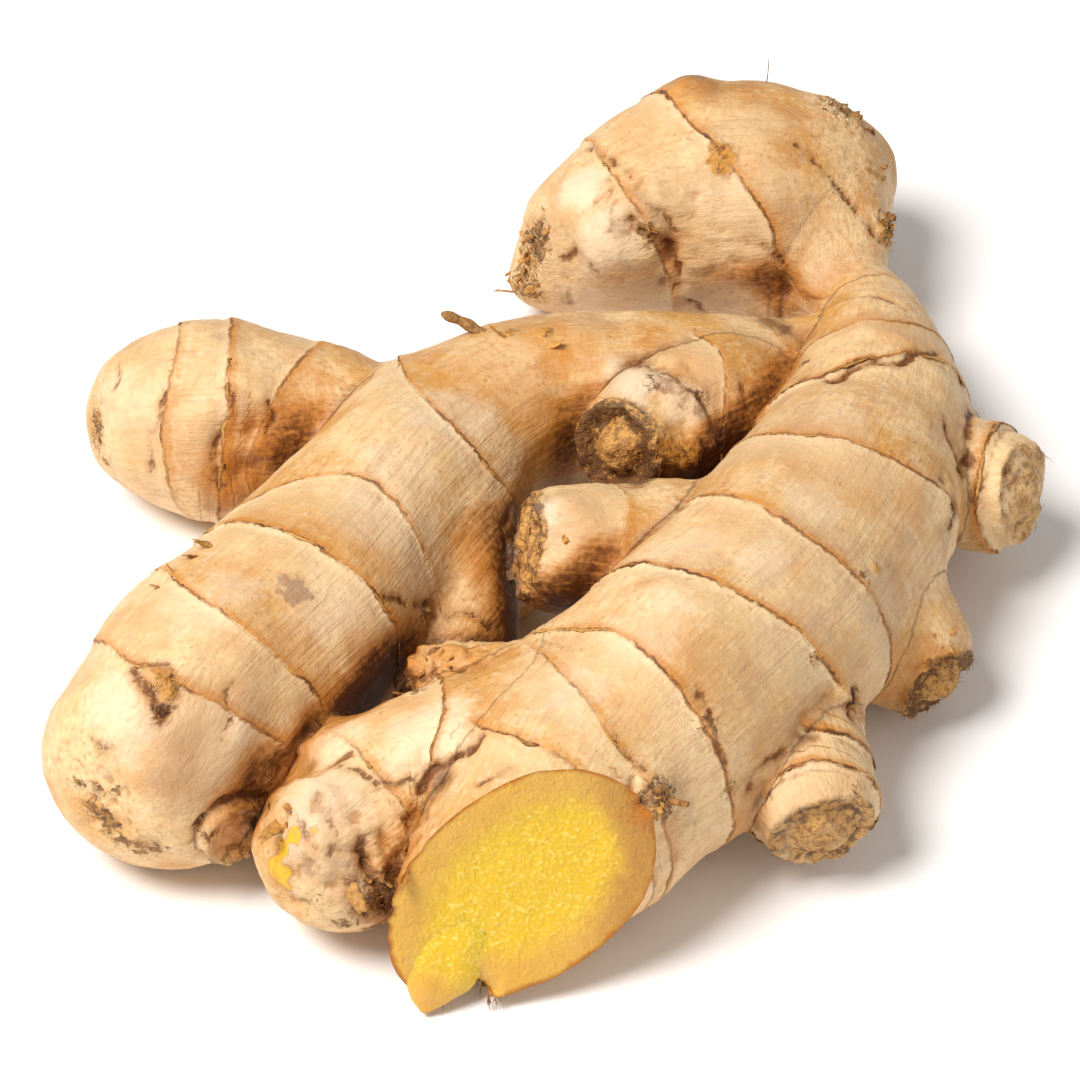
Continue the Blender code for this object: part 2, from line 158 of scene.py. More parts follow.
# small swellings and hollows: place in the photograph, reach and height in millimetres
swellings = [
    (694, 94, 3.4, 1.5), (670, 92, 2.0, -0.6), (850, 98, 2.6, 1.2), (902, 220, 2.4, 1.2),
    (905, 252, 2.0, 0.8), (560, 215, 4.0, 1.0), (585, 195, 4.0, 1.1), (600, 250, 5.5, 1.2),
    (575, 240, 2.5, -0.7), (612, 200, 1.8, -0.8), (652, 212, 3.2, 1.2), (640, 224, 1.6, -1.1),
    (668, 252, 2.2, -1.2), (672, 278, 2.2, -0.9), (700, 270, 5.5, 1.0), (640, 300, 3.5, 0.7),
    (610, 315, 3.0, -0.5), (720, 165, 3.4, -0.6), (700, 150, 2.6, 0.4), (765, 200, 6.0, 0.4),
    (535, 215, 2.4, -0.9), (530, 240, 2.0, -0.8), (545, 275, 3.0, 0.7), (785, 285, 3.0, -0.8),
    (760, 275, 4.0, 0.6), (296, 800, 3.2, 1.0), (325, 790, 3.0, 0.7), (312, 812, 1.8, -0.8),
    (322, 848, 2.6, 1.0), (345, 862, 2.4, 0.7), (300, 765, 2.4, -0.7), (285, 745, 3.0, 0.8),
    (275, 785, 2.6, 0.7), (368, 795, 2.8, -0.6), (395, 780, 3.0, 0.5), (335, 880, 2.0, -0.9),
    (365, 850, 2.2, -0.9), (355, 890, 2.0, 0.9), (385, 870, 2.4, 0.6), (300, 875, 2.2, 0.6),
    (310, 895, 2.2, -0.7), (330, 905, 2.4, 0.6), (415, 800, 3.0, 0.6), (440, 775, 2.4, -0.6),
    (460, 755, 2.6, 0.5), (635, 378, 3.4, 0.9), (668, 384, 2.8, 0.6), (652, 402, 2.2, -0.7),
    (692, 398, 2.6, 0.9), (705, 425, 2.6, 0.8), (680, 430, 2.2, -0.6), (712, 446, 1.8, 0.8),
    (660, 440, 2.6, 0.5), (625, 355, 2.6, -0.5), (690, 458, 2.2, 0.6), (548, 508, 3.0, 0.8),
    (575, 500, 2.6, 0.5), (560, 530, 2.2, -0.5), (585, 530, 3.0, 0.6), (560, 570, 3.0, 0.6),
    (152, 684, 2.4, 0.7), (165, 700, 1.6, -0.8), (133, 700, 5.0, 0.6), (180, 650, 4.0, 0.4),
    (236, 735, 2.2, 0.8), (225, 765, 3.0, 0.5), (200, 750, 2.6, -0.5), (105, 830, 3.0, -0.8),
    (150, 850, 2.4, -0.6), (130, 840, 2.0, 0.6), (86, 800, 2.0, -0.5), (268, 450, 2.2, 0.8),
    (255, 430, 1.6, -0.7), (262, 400, 2.4, 0.9), (238, 400, 3.4, 0.7), (228, 440, 1.8, -0.9),
    (245, 470, 2.0, -0.8), (197, 430, 3.6, 0.6), (182, 400, 1.8, -0.6), (110, 350, 3.0, 0.4),
    (88, 430, 2.0, -0.6), (665, 800, 2.2, 0.8), (648, 775, 2.4, 0.6), (690, 700, 3.0, -0.5),
    (750, 770, 2.8, -0.6), (770, 800, 3.0, 0.5), (860, 610, 4.0, 0.5), (905, 640, 3.0, 0.8),
    (920, 670, 2.2, -0.7), (940, 690, 2.2, 0.7), (868, 335, 4.0, 0.7), (845, 352, 3.0, 0.6),
    (850, 372, 3.0, -0.5), (900, 345, 3.0, 0.6), (815, 350, 3.0, 0.5), (650, 595, 3.0, 0.5),
    (690, 600, 4.0, 0.4), (640, 530, 6.0, 0.4), (760, 470, 6.0, 0.3), (520, 710, 5.0, 0.4),
]

# round scars with a raised rim: place in the photograph, radius and height of the rim in millimetres
discs = [(236, 832, 4.7, 1.4), (157, 693, 2.7, 0.5)]

# stains of the skin, with painted shade and painted highlight among them: place in the photograph, reach in
# millimetres, strength
stains = {
    # painted shade: dark brown painted into the gaps under the inner stub, beside the west stub, under the
    # knob's chin, by the bud and the side lobe and by the shoulder
    "paintedShade": [(615, 480, 2, 0.8), (640, 484, 2.2, 1), (670, 478, 2.2, 1), (695, 466, 2, 0.9),
             (770, 322, 2.4, 0.9), (784, 330, 1.6, 0.9), (505, 600, 2.4, 0.9), (512, 622, 2.2, 0.8),
             (262, 790, 1.6, 0.8), (266, 762, 1.6, 0.6), (398, 664, 1.8, 0.6), (724, 452, 1.4, 0.7),
             (755, 800, 1.4, 0.8), (380, 940, 1.6, 0.7)],
    "gold": [(540, 140, 6, 0.4), (650, 130, 8, 0.35), (215, 745, 9, 1), (250, 760, 5, 1),
             (590, 520, 5, 0.6), (850, 790, 3, 0.6), (830, 440, 8, 0.4), (470, 380, 8, 0.5),
             (420, 330, 6, 0.5), (660, 660, 7, 0.45), (560, 650, 6, 0.45), (740, 520, 7, 0.4),
             (860, 470, 7, 0.5), (350, 540, 6, 0.5), (290, 640, 6, 0.6), (250, 650, 5, 0.6),
             (140, 620, 5, 0.3), (240, 480, 6, 1), (262, 430, 4, 0.8), (250, 520, 4, 0.8),
             (365, 650, 5, 0.9), (330, 690, 4, 0.7), (475, 560, 4, 0.7), (530, 400, 7, 0.6),
             (560, 345, 6, 0.6), (700, 470, 6, 0.5), (700, 370, 6, 0.9), (740, 430, 5, 0.8),
             (780, 360, 5, 0.6), (590, 590, 4, 1), (560, 600, 3, 0.9), (515, 610, 3, 1),
             (900, 335, 6, 0.7), (860, 325, 4, 0.6), (925, 670, 5, 0.9), (900, 690, 4, 0.7),
             (660, 460, 3, 0.7), (625, 190, 4, 0.5), (735, 170, 4, 0.5), (770, 790, 4, 0.4),
             (480, 300, 5, 0.5), (460, 660, 4, 0.7), (410, 700, 3, 0.7), (230, 690, 4, 0.4),
             (260, 700, 3, 0.5), (300, 350, 4, 0.5), (910, 500, 4, 0.7), (505, 655, 3, 0.6),
             (640, 700, 5, 0.3), (815, 800, 4, 0.5)],
    # white: whitish dry patches of the skin, and painted highlight on the knob's lump and on the top of the
    # branch
    "white": [(450, 420, 7, 0.4), (380, 520, 7, 0.4), (330, 600, 6, 0.35), (425, 500, 5, 0.4),
              (545, 515, 2.4, 1), (555, 545, 3, 0.3), (640, 385, 5, 0.8), (690, 400, 4, 0.6),
              (620, 375, 3, 0.7), (585, 190, 4, 0.8), (610, 240, 5, 0.7), (590, 300, 4, 0.5),
              (655, 300, 3, 0.5), (330, 800, 5, 0.55), (310, 820, 3, 0.7), (350, 830, 4, 0.3),
              (235, 730, 1.8, 1), (430, 740, 6, 0.5), (130, 720, 5, 0.5), (110, 700, 4, 0.5),
              (290, 850, 2, 0.6), (450, 830, 6, 0.3), (690, 550, 6, 0.4), (760, 560, 4, 0.4),
              (810, 500, 5, 0.3), (670, 610, 4, 0.4), (330, 740, 5, 0.4), (640, 640, 5, 0.4),
              (570, 690, 5, 0.4), (230, 590, 4, 0.4), (190, 610, 5, 0.4), (400, 470, 6, 0.3),
              (840, 420, 6, 0.3), (120, 400, 5, 0.3)],
    "grey": [(520, 520, 3, 1), (514, 560, 3, 1), (522, 586, 2, 0.9), (297, 590, 2.6, 1),
             (283, 578, 1.3, 0.8), (694, 88, 3.6, 1), (665, 385, 2.6, 0.7), (640, 365, 2.2, 0.8),
             (700, 410, 2.2, 0.7), (685, 395, 2.4, 0.6), (520, 545, 3.0, 1), (515, 575, 2.4, 0.9),
             (522, 515, 2.2, 0.9), (309, 868, 2.0, 0.7), (345, 870, 2.6, 0.6), (240, 855, 2.6, 0.5),
             (860, 600, 4, 0.35), (610, 205, 3, 0.4), (885, 570, 4, 0.35), (625, 225, 2.4, 0.5),
             (88, 790, 1.2, 0.9), (760, 740, 3, 0.3)],
    "dull": [(325, 815, 7, 0.35), (560, 250, 6, 0.35), (572, 508, 4, 0.5), (815, 822, 5, 0.9),
             (780, 762, 6, 0.5), (830, 470, 9, 0.3), (700, 720, 8, 0.3), (700, 230, 10, 0.4),
             (730, 240, 12, 0.5), (800, 250, 9, 0.5), (690, 290, 8, 0.5), (640, 220, 4, 0.6),
             (760, 130, 8, 0.35), (780, 430, 9, 0.35), (820, 560, 9, 0.5), (800, 640, 8, 0.5),
             (740, 680, 8, 0.4), (690, 750, 6, 0.4), (420, 570, 6, 0.5), (380, 620, 7, 0.4),
             (215, 760, 9, 0.8), (240, 700, 6, 0.5), (180, 780, 6, 0.5), (330, 870, 6, 0.5),
             (790, 800, 7, 0.4), (430, 600, 5, 0.5), (880, 600, 6, 0.5), (960, 430, 5, 0.4),
             (430, 320, 5, 0.3), (150, 430, 6, 0.3), (520, 560, 4, 0.4), (300, 720, 4, 0.3),
             (590, 320, 4, 0.4)],
    "scab": [(722, 160, 2.6, 1), (716, 150, 1.8, 0.9), (167, 693, 2.2, 0.7), (690, 455, 2.6, 0.8),
             (670, 450, 2.2, 0.7), (508, 336, 1.4, 1), (545, 335, 1.0, 1), (875, 570, 1.2, 0.8),
             (950, 660, 2.4, 0.7), (405, 685, 2.0, 0.8)],
    "flesh": [(282, 850, 1.9, 1), (278, 868, 1.9, 1), (284, 884, 1.6, 1), (296, 838, 1.4, 0.9),
              (318, 832, 0.9, 0.7)],
    "torn": [(100, 826, 2.6, 1), (84, 810, 1.6, 0.8), (120, 845, 2.2, 0.9), (143, 852, 2.4, 0.9),
             (160, 852, 1.6, 0.7), (92, 795, 1.6, 0.8), (74, 783, 1.2, 0.9), (112, 792, 0.9, 1),
             (88, 785, 0.8, 0.7), (98, 745, 1.2, 0.7), (155, 690, 1.4, 0.7), (163, 712, 1.6, 1),
             (148, 676, 1.0, 0.6), (940, 668, 2.6, 1), (952, 690, 2.0, 1), (258, 828, 2.0, 0.9),
             (237, 852, 2.0, 0.7), (207, 835, 1.3, 0.9), (375, 925, 2.6, 1), (384, 905, 2.0, 0.9),
             (342, 922, 1.6, 0.9), (392, 938, 2.4, 1), (360, 900, 1.6, 0.7), (318, 900, 1.5, 0.6),
             (408, 686, 1.7, 1), (403, 675, 1.3, 0.9), (417, 690, 1.2, 0.8), (650, 385, 1.6, 0.8),
             (700, 395, 1.5, 0.8), (716, 440, 1.6, 0.9), (680, 452, 1.5, 0.7), (530, 230, 2.8, 1),
             (527, 205, 2.0, 0.9), (533, 258, 2.2, 0.9), (648, 232, 1.8, 0.8), (660, 243, 1.6, 0.7),
             (900, 225, 2.6, 0.9), (907, 245, 1.8, 0.8), (905, 212, 1.6, 0.8), (845, 92, 2.2, 0.9),
             (858, 104, 1.8, 0.7), (662, 800, 1.9, 1), (658, 785, 1.4, 0.8), (668, 812, 1.6, 0.9),
             (862, 574, 1.2, 0.8), (815, 660, 1.1, 0.8), (848, 692, 1.4, 0.9), (80, 425, 2.0, 0.7),
             (90, 445, 1.6, 0.6), (105, 460, 1.6, 0.6), (850, 800, 2.2, 0.6), (523, 560, 2.2, 0.7),
             (470, 985, 2.0, 1), (455, 975, 1.6, 0.8), (960, 470, 1.8, 0.6), (945, 520, 1.8, 0.7),
             (585, 440, 1.2, 0.6), (805, 365, 1.2, 0.9), (800, 350, 0.9, 0.8), (803, 380, 0.9, 0.8),
             (730, 790, 1.4, 0.7)],
    # brown: brown patches of the skin, and painted shade in the gaps under the inner stub, beside the west
    # stub, under the knob's chin, by the side lobe and by the shoulder
    "brown": [(822, 832, 1.8, 0.9), (800, 818, 2, 0.6), (752, 790, 2, 0.8), (756, 812, 2, 0.9),
              (240, 838, 3, 0.9), (297, 590, 2.2, 0.5), (212, 752, 8, 0.8), (240, 720, 4, 0.7),
              (690, 90, 3.4, 0.9), (704, 94, 3, 0.7), (225, 500, 4, 0.9), (238, 410, 3, 0.9),
              (218, 430, 2.6, 0.8), (262, 450, 3, 0.8), (245, 480, 3, 0.9), (228, 340, 3, 0.5),
              (206, 745, 4, 0.6), (235, 770, 4, 0.7), (255, 740, 4, 0.6), (500, 590, 4, 0.7),
              (512, 640, 3, 0.8), (390, 640, 4, 0.5), (650, 470, 3, 0.6), (600, 478, 3, 0.6),
              (780, 400, 3, 0.6), (560, 480, 4, 0.6), (540, 450, 3, 0.6), (800, 340, 2.6, 0.5),
              (790, 300, 4, 0.3), (760, 310, 4, 0.3), (400, 655, 2.4, 0.6), (270, 760, 2.5, 0.5),
              (275, 790, 2.5, 0.6), (885, 640, 2.6, 0.5), (900, 600, 2.4, 0.4), (940, 540, 3, 0.6),
              (380, 900, 3.5, 0.6), (350, 880, 3, 0.5), (950, 440, 2.4, 0.4), (745, 810, 2.6, 0.5)],
}

# places whose skin is puckered: x, y, z, reach, height, width of a fold
puckers = [(14, 57.4, 24, 7.0, 1.6, 4.2), (-27, -62, 16, 9.0, 1.9, 4.4), (-18, -64, 18, 6.0, 1.2, 3.2),
           (-47.5, -48, 31, 2.6, 0.9, 1.8), (-14, -35, 23, 5.0, 1.3, 2.6), (-38.5, -53, 10, 4.5, 0.5, 2.0),
           (44, 74, 29, 5.0, 0.9, 2.4), (53, 60, 20, 4.5, 1.0, 2.4), (13, -62, 27, 3.5, 0.9, 2.0),
           (24, 54, 22, 9.0, 0.7, 4.0), (-23, -60, 19, 8.0, 1.5, 5.5),
           (12, 9, 27, 5.0, 0.7, 2.2), (0, -14, 29, 4.0, 0.6, 2.2), (-56, -56, 18, 6.0, 0.8, 2.6),
           (-4, -33, 25, 6.0, 0.9, 2.4), (-10, -34, 24, 5.0, 1.1, 2.0), (16, 18, 28, 5.0, 1.0, 2.8)]

# the photograph's view, in millimetres, used to lay marks on the skin where the photograph shows them
photoView = {
    "elevation": 42.0,  # the photograph looks down on the root at this angle
    "distance": 592.0,
    "lens": 145.0,
    "sensor": 36.0,
    "pixels": 1080,
    "aim": (0.0, 0.0, 12.8),
}

# cracks, folds and dark lines: width and depth in millimetres, strength, places in the photograph
cracks = [
    (0.5, 0.9, 1.0, [(628, 222), (640, 228), (653, 235), (670, 248), (678, 262), (677, 286)]),
    (0.4, 0.6, 0.8, [(587, 147), (600, 152), (615, 160), (627, 169), (633, 178)]),
    (0.5, 0.6, 0.8, [(567, 258), (580, 250), (597, 256), (607, 266)]),
    (0.4, 0.5, 0.9, [(683, 298), (697, 303), (704, 312), (709, 327)]),
    (0.4, 0.5, 0.6, [(652, 205), (664, 214), (672, 228), (690, 236)]),
    (0.6, 0.6, 1.0, [(765, 245), (776, 256), (790, 270), (786, 285), (780, 300), (784, 318), (786, 332)]),
    (0.5, 0.8, 1.0, [(508, 512), (504, 530), (506, 552), (512, 575), (520, 592)]),
    (0.4, 0.5, 0.9, [(530, 505), (536, 525), (534, 548), (538, 566), (532, 585)]),
    (0.4, 0.4, 0.8, [(519, 512), (516, 532), (520, 556), (522, 580)]),
    (0.5, 0.6, 0.9, [(632, 362), (655, 370), (676, 378), (694, 392), (706, 408)]),
    (0.5, 0.5, 0.8, [(706, 408), (712, 428), (718, 446), (712, 462)]),
    (0.4, 0.5, 0.7, [(640, 486), (626, 486), (612, 478)]),
    (0.4, 0.4, 0.8, [(740, 375), (746, 392), (748, 410)]),
    (0.5, 0.5, 0.9, [(944, 412), (950, 440), (962, 470), (972, 500)]),
    (0.5, 0.5, 0.8, [(985, 408), (972, 412), (966, 430), (970, 460), (978, 490)]),
    (0.4, 0.4, 0.9, [(164, 395), (160, 420), (154, 440), (152, 470)]),
    (0.4, 0.4, 0.8, [(224, 385), (234, 400), (226, 420), (216, 440), (214, 462), (222, 490)]),
    (0.4, 0.5, 0.8, [(268, 400), (276, 420), (264, 445), (254, 470), (248, 500)]),
    (0.3, 0.3, 0.6, [(110, 355), (120, 365), (122, 380), (114, 392)]),
    (0.3, 0.3, 0.6, [(92, 400), (94, 430), (98, 460)]),
    (0.4, 0.4, 0.6, [(566, 272), (572, 286), (570, 304)]),
    (0.5, 0.7, 1.0, [(483, 740), (470, 753), (450, 765), (433, 772), (420, 787), (412, 803)]),
    (0.4, 0.4, 0.8, [(393, 803), (400, 814), (407, 822), (417, 812)]),
    (0.4, 0.4, 0.8, [(477, 783), (492, 773), (513, 767)]),
    (0.4, 0.5, 0.8, [(620, 738), (633, 757), (643, 770)]),
    (0.5, 0.6, 0.9, [(135, 675), (143, 688), (150, 699), (160, 720)]),
    (0.4, 0.5, 0.9, [(175, 676), (178, 692), (171, 708), (162, 720)]),
    (0.4, 0.3, 0.7, [(133, 673), (150, 668), (170, 671)]),
    (0.4, 0.3, 0.7, [(95, 742), (104, 747), (112, 750)]),
    (0.5, 0.7, 0.9, [(198, 830), (206, 814), (226, 802), (250, 800), (266, 812)]),
    (0.4, 0.4, 0.7, [(222, 740), (226, 722), (224, 700), (228, 686)]),
    (0.5, 0.7, 0.8, [(277, 772), (285, 748), (300, 733), (322, 722)]),
    (0.4, 0.5, 0.7, [(307, 778), (325, 768), (343, 760), (353, 752)]),
    (0.4, 0.6, 0.8, [(343, 767), (360, 775), (378, 784), (397, 787), (412, 780)]),
    (0.5, 0.8, 0.9, [(372, 826), (360, 850), (368, 864), (376, 884)]),
    (0.4, 0.6, 0.7, [(318, 800), (330, 815), (338, 835), (334, 856)]),
    (0.4, 0.6, 0.7, [(290, 812), (302, 822), (308, 838), (322, 846)]),
    (0.5, 0.8, 0.9, [(345, 880), (352, 900), (366, 914), (384, 922)]),
    (0.5, 0.7, 1.0, [(377, 598), (400, 603), (427, 606), (451, 614), (470, 616), (498, 632)]),
    (0.5, 0.7, 1.0, [(806, 377), (832, 374), (850, 364), (861, 363), (873, 358), (900, 364), (920, 356),
                     (938, 357), (955, 355)]),
    (0.4, 0.4, 0.7, [(838, 304), (861, 300), (885, 301), (910, 313)]),
    (0.4, 0.5, 0.8, [(801, 143), (820, 162), (838, 184), (849, 200), (858, 216), (878, 242), (894, 269)]),
    (0.4, 0.5, 0.7, [(748, 792), (758, 772), (770, 760), (782, 752)]),
    (0.5, 0.6, 1.0, [(848, 690), (846, 705), (850, 722), (857, 730)]),
    (0.5, 0.4, 0.8, [(700, 690), (708, 712), (716, 735), (722, 758)]),
    (0.5, 0.5, 0.9, [(938, 482), (944, 498), (946, 515), (944, 530)]),
    (0.4, 0.6, 0.8, [(404, 652), (420, 655), (440, 650), (456, 644), (474, 646)]),
    (0.5, 0.7, 0.9, [(403, 690), (412, 680), (424, 677), (436, 668)]),
]


def fingerLine(stations, steps=5):
    # a smooth line through the stations with the arc length of each row
    known = np.array(stations, float)
    ends = np.vstack([2 * known[0] - known[1], known, 2 * known[-1] - known[-2]])
    t = np.arange(steps)[:, None] / steps
    rows = []
    for a, b, c, d in zip(ends, ends[1:], ends[2:], ends[3:]):
        rows.append(0.5 * (2 * b + (c - a) * t + (2 * a - 5 * b + 4 * c - d) * t**2
                           + (3 * b - a - 3 * c + d) * t**3))
    line = np.vstack(rows + [known[-1:]])
    stride = np.linalg.norm(np.diff(line[:, :3], axis=0), axis=1)
    return line, np.concatenate([[0.0], np.cumsum(stride)])


lines = {name: fingerLine(stations) for name, stations in fingers.items()}
cullMargin = 7.0


def reachBox(line):
    # the corners of the box past which a finger is too far away to matter
    return (line[:, :3] - line[:, 3:]).min(0) - cullMargin, (line[:, :3] + line[:, 3:]).max(0) + cullMargin


reachBoxes = {name: reachBox(line) for name, (line, arc) in lines.items()}


def upwardOf(along):
    upward = np.array([0.0, 0.0, 1.0]) - along[2] * along
    return upward / np.linalg.norm(upward)


def frameAt(name, place):
    # core point, direction and sideways direction of a finger at an arc length
    line, arc = lines[name]
    place = min(max(place, 1.0), arc[-1] - 1.0)
    ahead, behind, middle = (np.array([np.interp(s, arc, line[:, i]) for i in range(3)])
                             for s in (place + 1.0, place - 1.0, place))
    along = (ahead - behind) / np.linalg.norm(ahead - behind)
    return middle, along, np.cross(upwardOf(along), along)


def smoothStep(x):
    x = np.clip(x, 0, 1)
    return x * x * (3 - 2 * x)


def smoothMin(a, b, reach):
    near = np.maximum(reach - np.abs(a - b), 0) / reach
    return np.minimum(a, b) - near * near * reach / 4


def nearestOnFinger(points, name):
    # distance from the finger's skin, the nearest segment and how far along it
    line, arc = lines[name]
    start, span = line[:-1], np.diff(line, axis=0)
    away = points[:, None, :] - start[None, :, :3]
    share = np.clip((away * span[:, :3]).sum(-1) / (span[:, :3] ** 2).sum(-1), 0, 1)
    gap = np.linalg.norm(away - share[..., None] * span[:, :3], axis=-1) - start[:, 3] - share * span[:, 3]
    best = gap.argmin(axis=1)
    rows = np.arange(len(points))
    return gap[rows, best], best, share[rows, best]


def fingerGap(points, name):
    gap = nearestOnFinger(points, name)[0]
    if name in flatEnds:
        tip, along, _ = frameAt(name, lines[name][1][-1])
        gap = -smoothMin(-gap, flatEnds[name] - (points - tip) @ along, flatRounding)
    return gap


def skinField(points):
    # distance to the skin of the whole root without its relief, and to each finger's own skin
    total = None
    gaps = {}
    for name in fingers:
        gap = np.full(len(points), farAway)
        low, high = reachBoxes[name]
        near = ((points > low) & (points < high)).all(axis=1)
        if near.any():
            gap[near] = fingerGap(points[near], name)
        gaps[name] = gap
        if total is None:
            total = gap
            continue
        foot = np.array(fingers[name][0])
        far = np.linalg.norm(points - foot[:3], axis=1) / (1.2 * foot[3] + 6)
        total = smoothMin(total, gap, leastMelt + (melt[name] - leastMelt) * np.exp(-far * far))
    return total, gaps


def slicesOf(points, size=9000):
    return [points[i:i + size] for i in range(0, len(points), size)]


def gapOf(points):
    return np.concatenate([skinField(some)[0] for some in slicesOf(points)])


def settle(points, rounds):
    # moves the points onto the smooth skin and returns the skin's direction there
    h = 0.05
    for _ in range(rounds):
        gap = gapOf(points)
        slope = np.stack([(gapOf(points + h * axis) - gap) / h for axis in np.eye(3)], axis=1)
        length = np.maximum((slope**2).sum(1), 0.25)
        points = points - np.clip(gap / length, -2.5, 2.5)[:, None] * slope
    return points, slope / np.sqrt(length)[:, None]


def noiseAt(points, size, seed=0.0):
    # gradient noise, about -1 to 1, with lumps of the given size in millimetres
    shift = Vector((seed * 7.3, seed * 3.1, seed * 5.7))
    return np.array([noise.noise(Vector(point) / size + shift) for point in points])


def ridgesAt(points, size, seed=0.0):
    # sharp folds, 1 on their crests
    shift = Vector((seed * 4.7, seed * 9.1, seed * 2.3))
    first = np.array([1 - 2 * abs(noise.noise(Vector(point) / size + shift)) for point in points])
    second = np.array([1 - 2 * abs(noise.noise(Vector(point) * 2.1 / size + shift)) for point in points])
    return 0.7 * first + 0.3 * second


def meshArrays(mesh):
    places = np.empty(len(mesh.vertices) * 3)
    mesh.vertices.foreach_get("co", places)
    edges = np.empty(len(mesh.edges) * 2, int)
    mesh.edges.foreach_get("vertices", edges)
    return places.reshape(-1, 3), edges.reshape(-1, 2)


def neighbourMean(values, edges):
    total = np.zeros_like(values)
    count = np.zeros(len(values))
    for a, b in ((edges[:, 0], edges[:, 1]), (edges[:, 1], edges[:, 0])):
        for i in range(values.shape[1]):
            total[:, i] += np.bincount(a, values[b, i], len(values))
        count += np.bincount(a, minlength=len(values))
    return total / np.maximum(count, 1)[:, None]


def setPlaces(mesh, places):
    mesh.vertices.foreach_set("co", np.ascontiguousarray(places).ravel())
    mesh.update()


def normalsOf(mesh):
    normals = np.empty(len(mesh.vertices) * 3)
    mesh.vertex_normals.foreach_get("vector", normals)
    return normals.reshape(-1, 3)


def newObject(name, mesh):
    made = bpy.data.objects.new(name, mesh)
    bpy.context.scene.collection.objects.link(made)
    return made


def fingerTube(name):
    # a finger as a curve with a round bevel, rounded at both tips and short at a flat end
    line, _ = lines[name]
    heads = []
    for row, beyond in ((line[0], line[0] - line[1]), (line[-1], line[-1] - line[-2])):
        direction = beyond[:3] / np.linalg.norm(beyond[:3])
        arcs = [(row[3] * math.sin(a), row[3] * math.cos(a)) for a in (0.5, 0.9, 1.2, 1.4)]
        heads.append([(*(row[:3] + out * direction), radius) for out, radius in arcs])
    if name in flatEnds:
        heads[1] = heads[1][:1]
    rows = np.vstack([np.array(heads[0][::-1]), line, np.array(heads[1])])
    data = bpy.data.curves.new(name, "CURVE")
    data.dimensions = "3D"
    data.bevel_depth = 1.0
    data.bevel_resolution = 6
    data.use_fill_caps = True
    spline = data.splines.new("POLY")
    spline.points.add(len(rows) - 1)
    for point, (x, y, z, radius) in zip(spline.points, rows):
        point.co = (x, y, z, 1.0)
        point.radius = radius
    return newObject(name, data)


def evaluatedMesh(thing):
    bpy.context.view_layer.update()
    graph = bpy.context.evaluated_depsgraph_get()
    return bpy.data.meshes.new_from_object(thing.evaluated_get(graph))


def onPhoto(tree, pixel):
    # the point of the skin that the photograph shows at a pixel
    tilt = math.radians(photoView["elevation"])
    back = Vector((0, -math.cos(tilt), math.sin(tilt)))
    upward = Vector((0, math.sin(tilt), math.cos(tilt)))
    step = photoView["sensor"] / photoView["lens"] / photoView["pixels"]
    across, down = (value - photoView["pixels"] / 2 for value in pixel)
    eye = Vector(photoView["aim"]) + photoView["distance"] * back
    heading = (-back + Vector((across * step, 0, 0)) - down * step * upward).normalized()
    return tree.ray_cast(eye, heading)[0]


def aroundMark(points, normals, tree, pixel, reach, widest=2.0):
    # the points of the same side of the skin near a mark, and how far they are in its reaches
    middle = onPhoto(tree, pixel)
    if middle is None:
        return np.zeros(0, int), np.zeros(0)
    far = np.linalg.norm(points - middle, axis=1) / reach
    facing = normals[far.argmin()]
    pick = np.flatnonzero((far < widest) & (normals @ facing > -0.1))
    return pick, far[pick]


def stainMarks(points, normals, tree):
    # irregular stains round the places where the photograph shows them
    marks = {}
    for kind, places in stains.items():
        marks[kind] = np.zeros(len(points))
        for across, down, reach, strength in places:
            pick, far = aroundMark(points, normals, tree, (across, down), reach)
            off = far + 0.45 * noiseAt(points[pick], 0.7 * reach, across)
            off += 0.25 * noiseAt(points[pick], 0.3 * reach + 0.4, down)
            marks[kind][pick] = np.maximum(marks[kind][pick], strength * (1 - smoothStep((off - 0.4) / 0.9)))
    return marks


def smallRelief(points, normals, tree):
    # the small swellings and hollows that the photograph shows, slightly uneven
    relief = np.zeros(len(points))
    for across, down, reach, height in swellings:
        pick, far = aroundMark(points, normals, tree, (across, down), reach, 2.2)
        off = far * (1 + 0.3 * noiseAt(points[pick], 0.8 * reach, across))
        relief[pick] += height * np.exp(-off * off)
    return relief


def skinTreeOf(points, mesh):
    return BVHTree.FromPolygons([tuple(point) for point in points],
                                [tuple(face.vertices) for face in mesh.polygons])


# how sheltered each point is by the skin round it, used to paint shade into the colour of the gaps
shelterLook = {"rays": 9, "quickRays": 4, "lift": 0.8, "reach": 13.0}


def shelterOf(points, normals, tree):
    # the share of the directions above each point that meet other skin near it
    rng = np.random.default_rng(3)
    found = np.zeros(len(points))
    tries = shelterLook["rays"]
    starts = points + shelterLook["lift"] * normals
    for _ in range(tries):
        heading = rng.normal(size=3)
        heading /= np.linalg.norm(heading)
        for i, (start, ray) in enumerate(zip(starts, normals + 0.95 * heading)):
            if tree.ray_cast(Vector(start), Vector(ray), shelterLook["reach"])[0]:
                found[i] += 1
    return found / tries


def discMarks(points, normals, tree):
    # the rims of the round scars, the hollow inside them and the line round them
    relief = np.zeros(len(points))
    inside = np.zeros(len(points))
    for across, down, radius, height in discs:
        pick, far = aroundMark(points, normals, tree, (across, down), radius, 1.8)
        off = far + 0.13 * noiseAt(points[pick], 2.4, across)
        rim = np.exp(-((off - 0.9) / 0.15) ** 2)
        trench = np.exp(-((off - 1.15) / 0.12) ** 2)
        relief[pick] += height * (rim - 0.8 * trench)
        inside[pick] = np.maximum(inside[pick], 1 - smoothStep((off - 0.75) / 0.3))
    return relief, inside


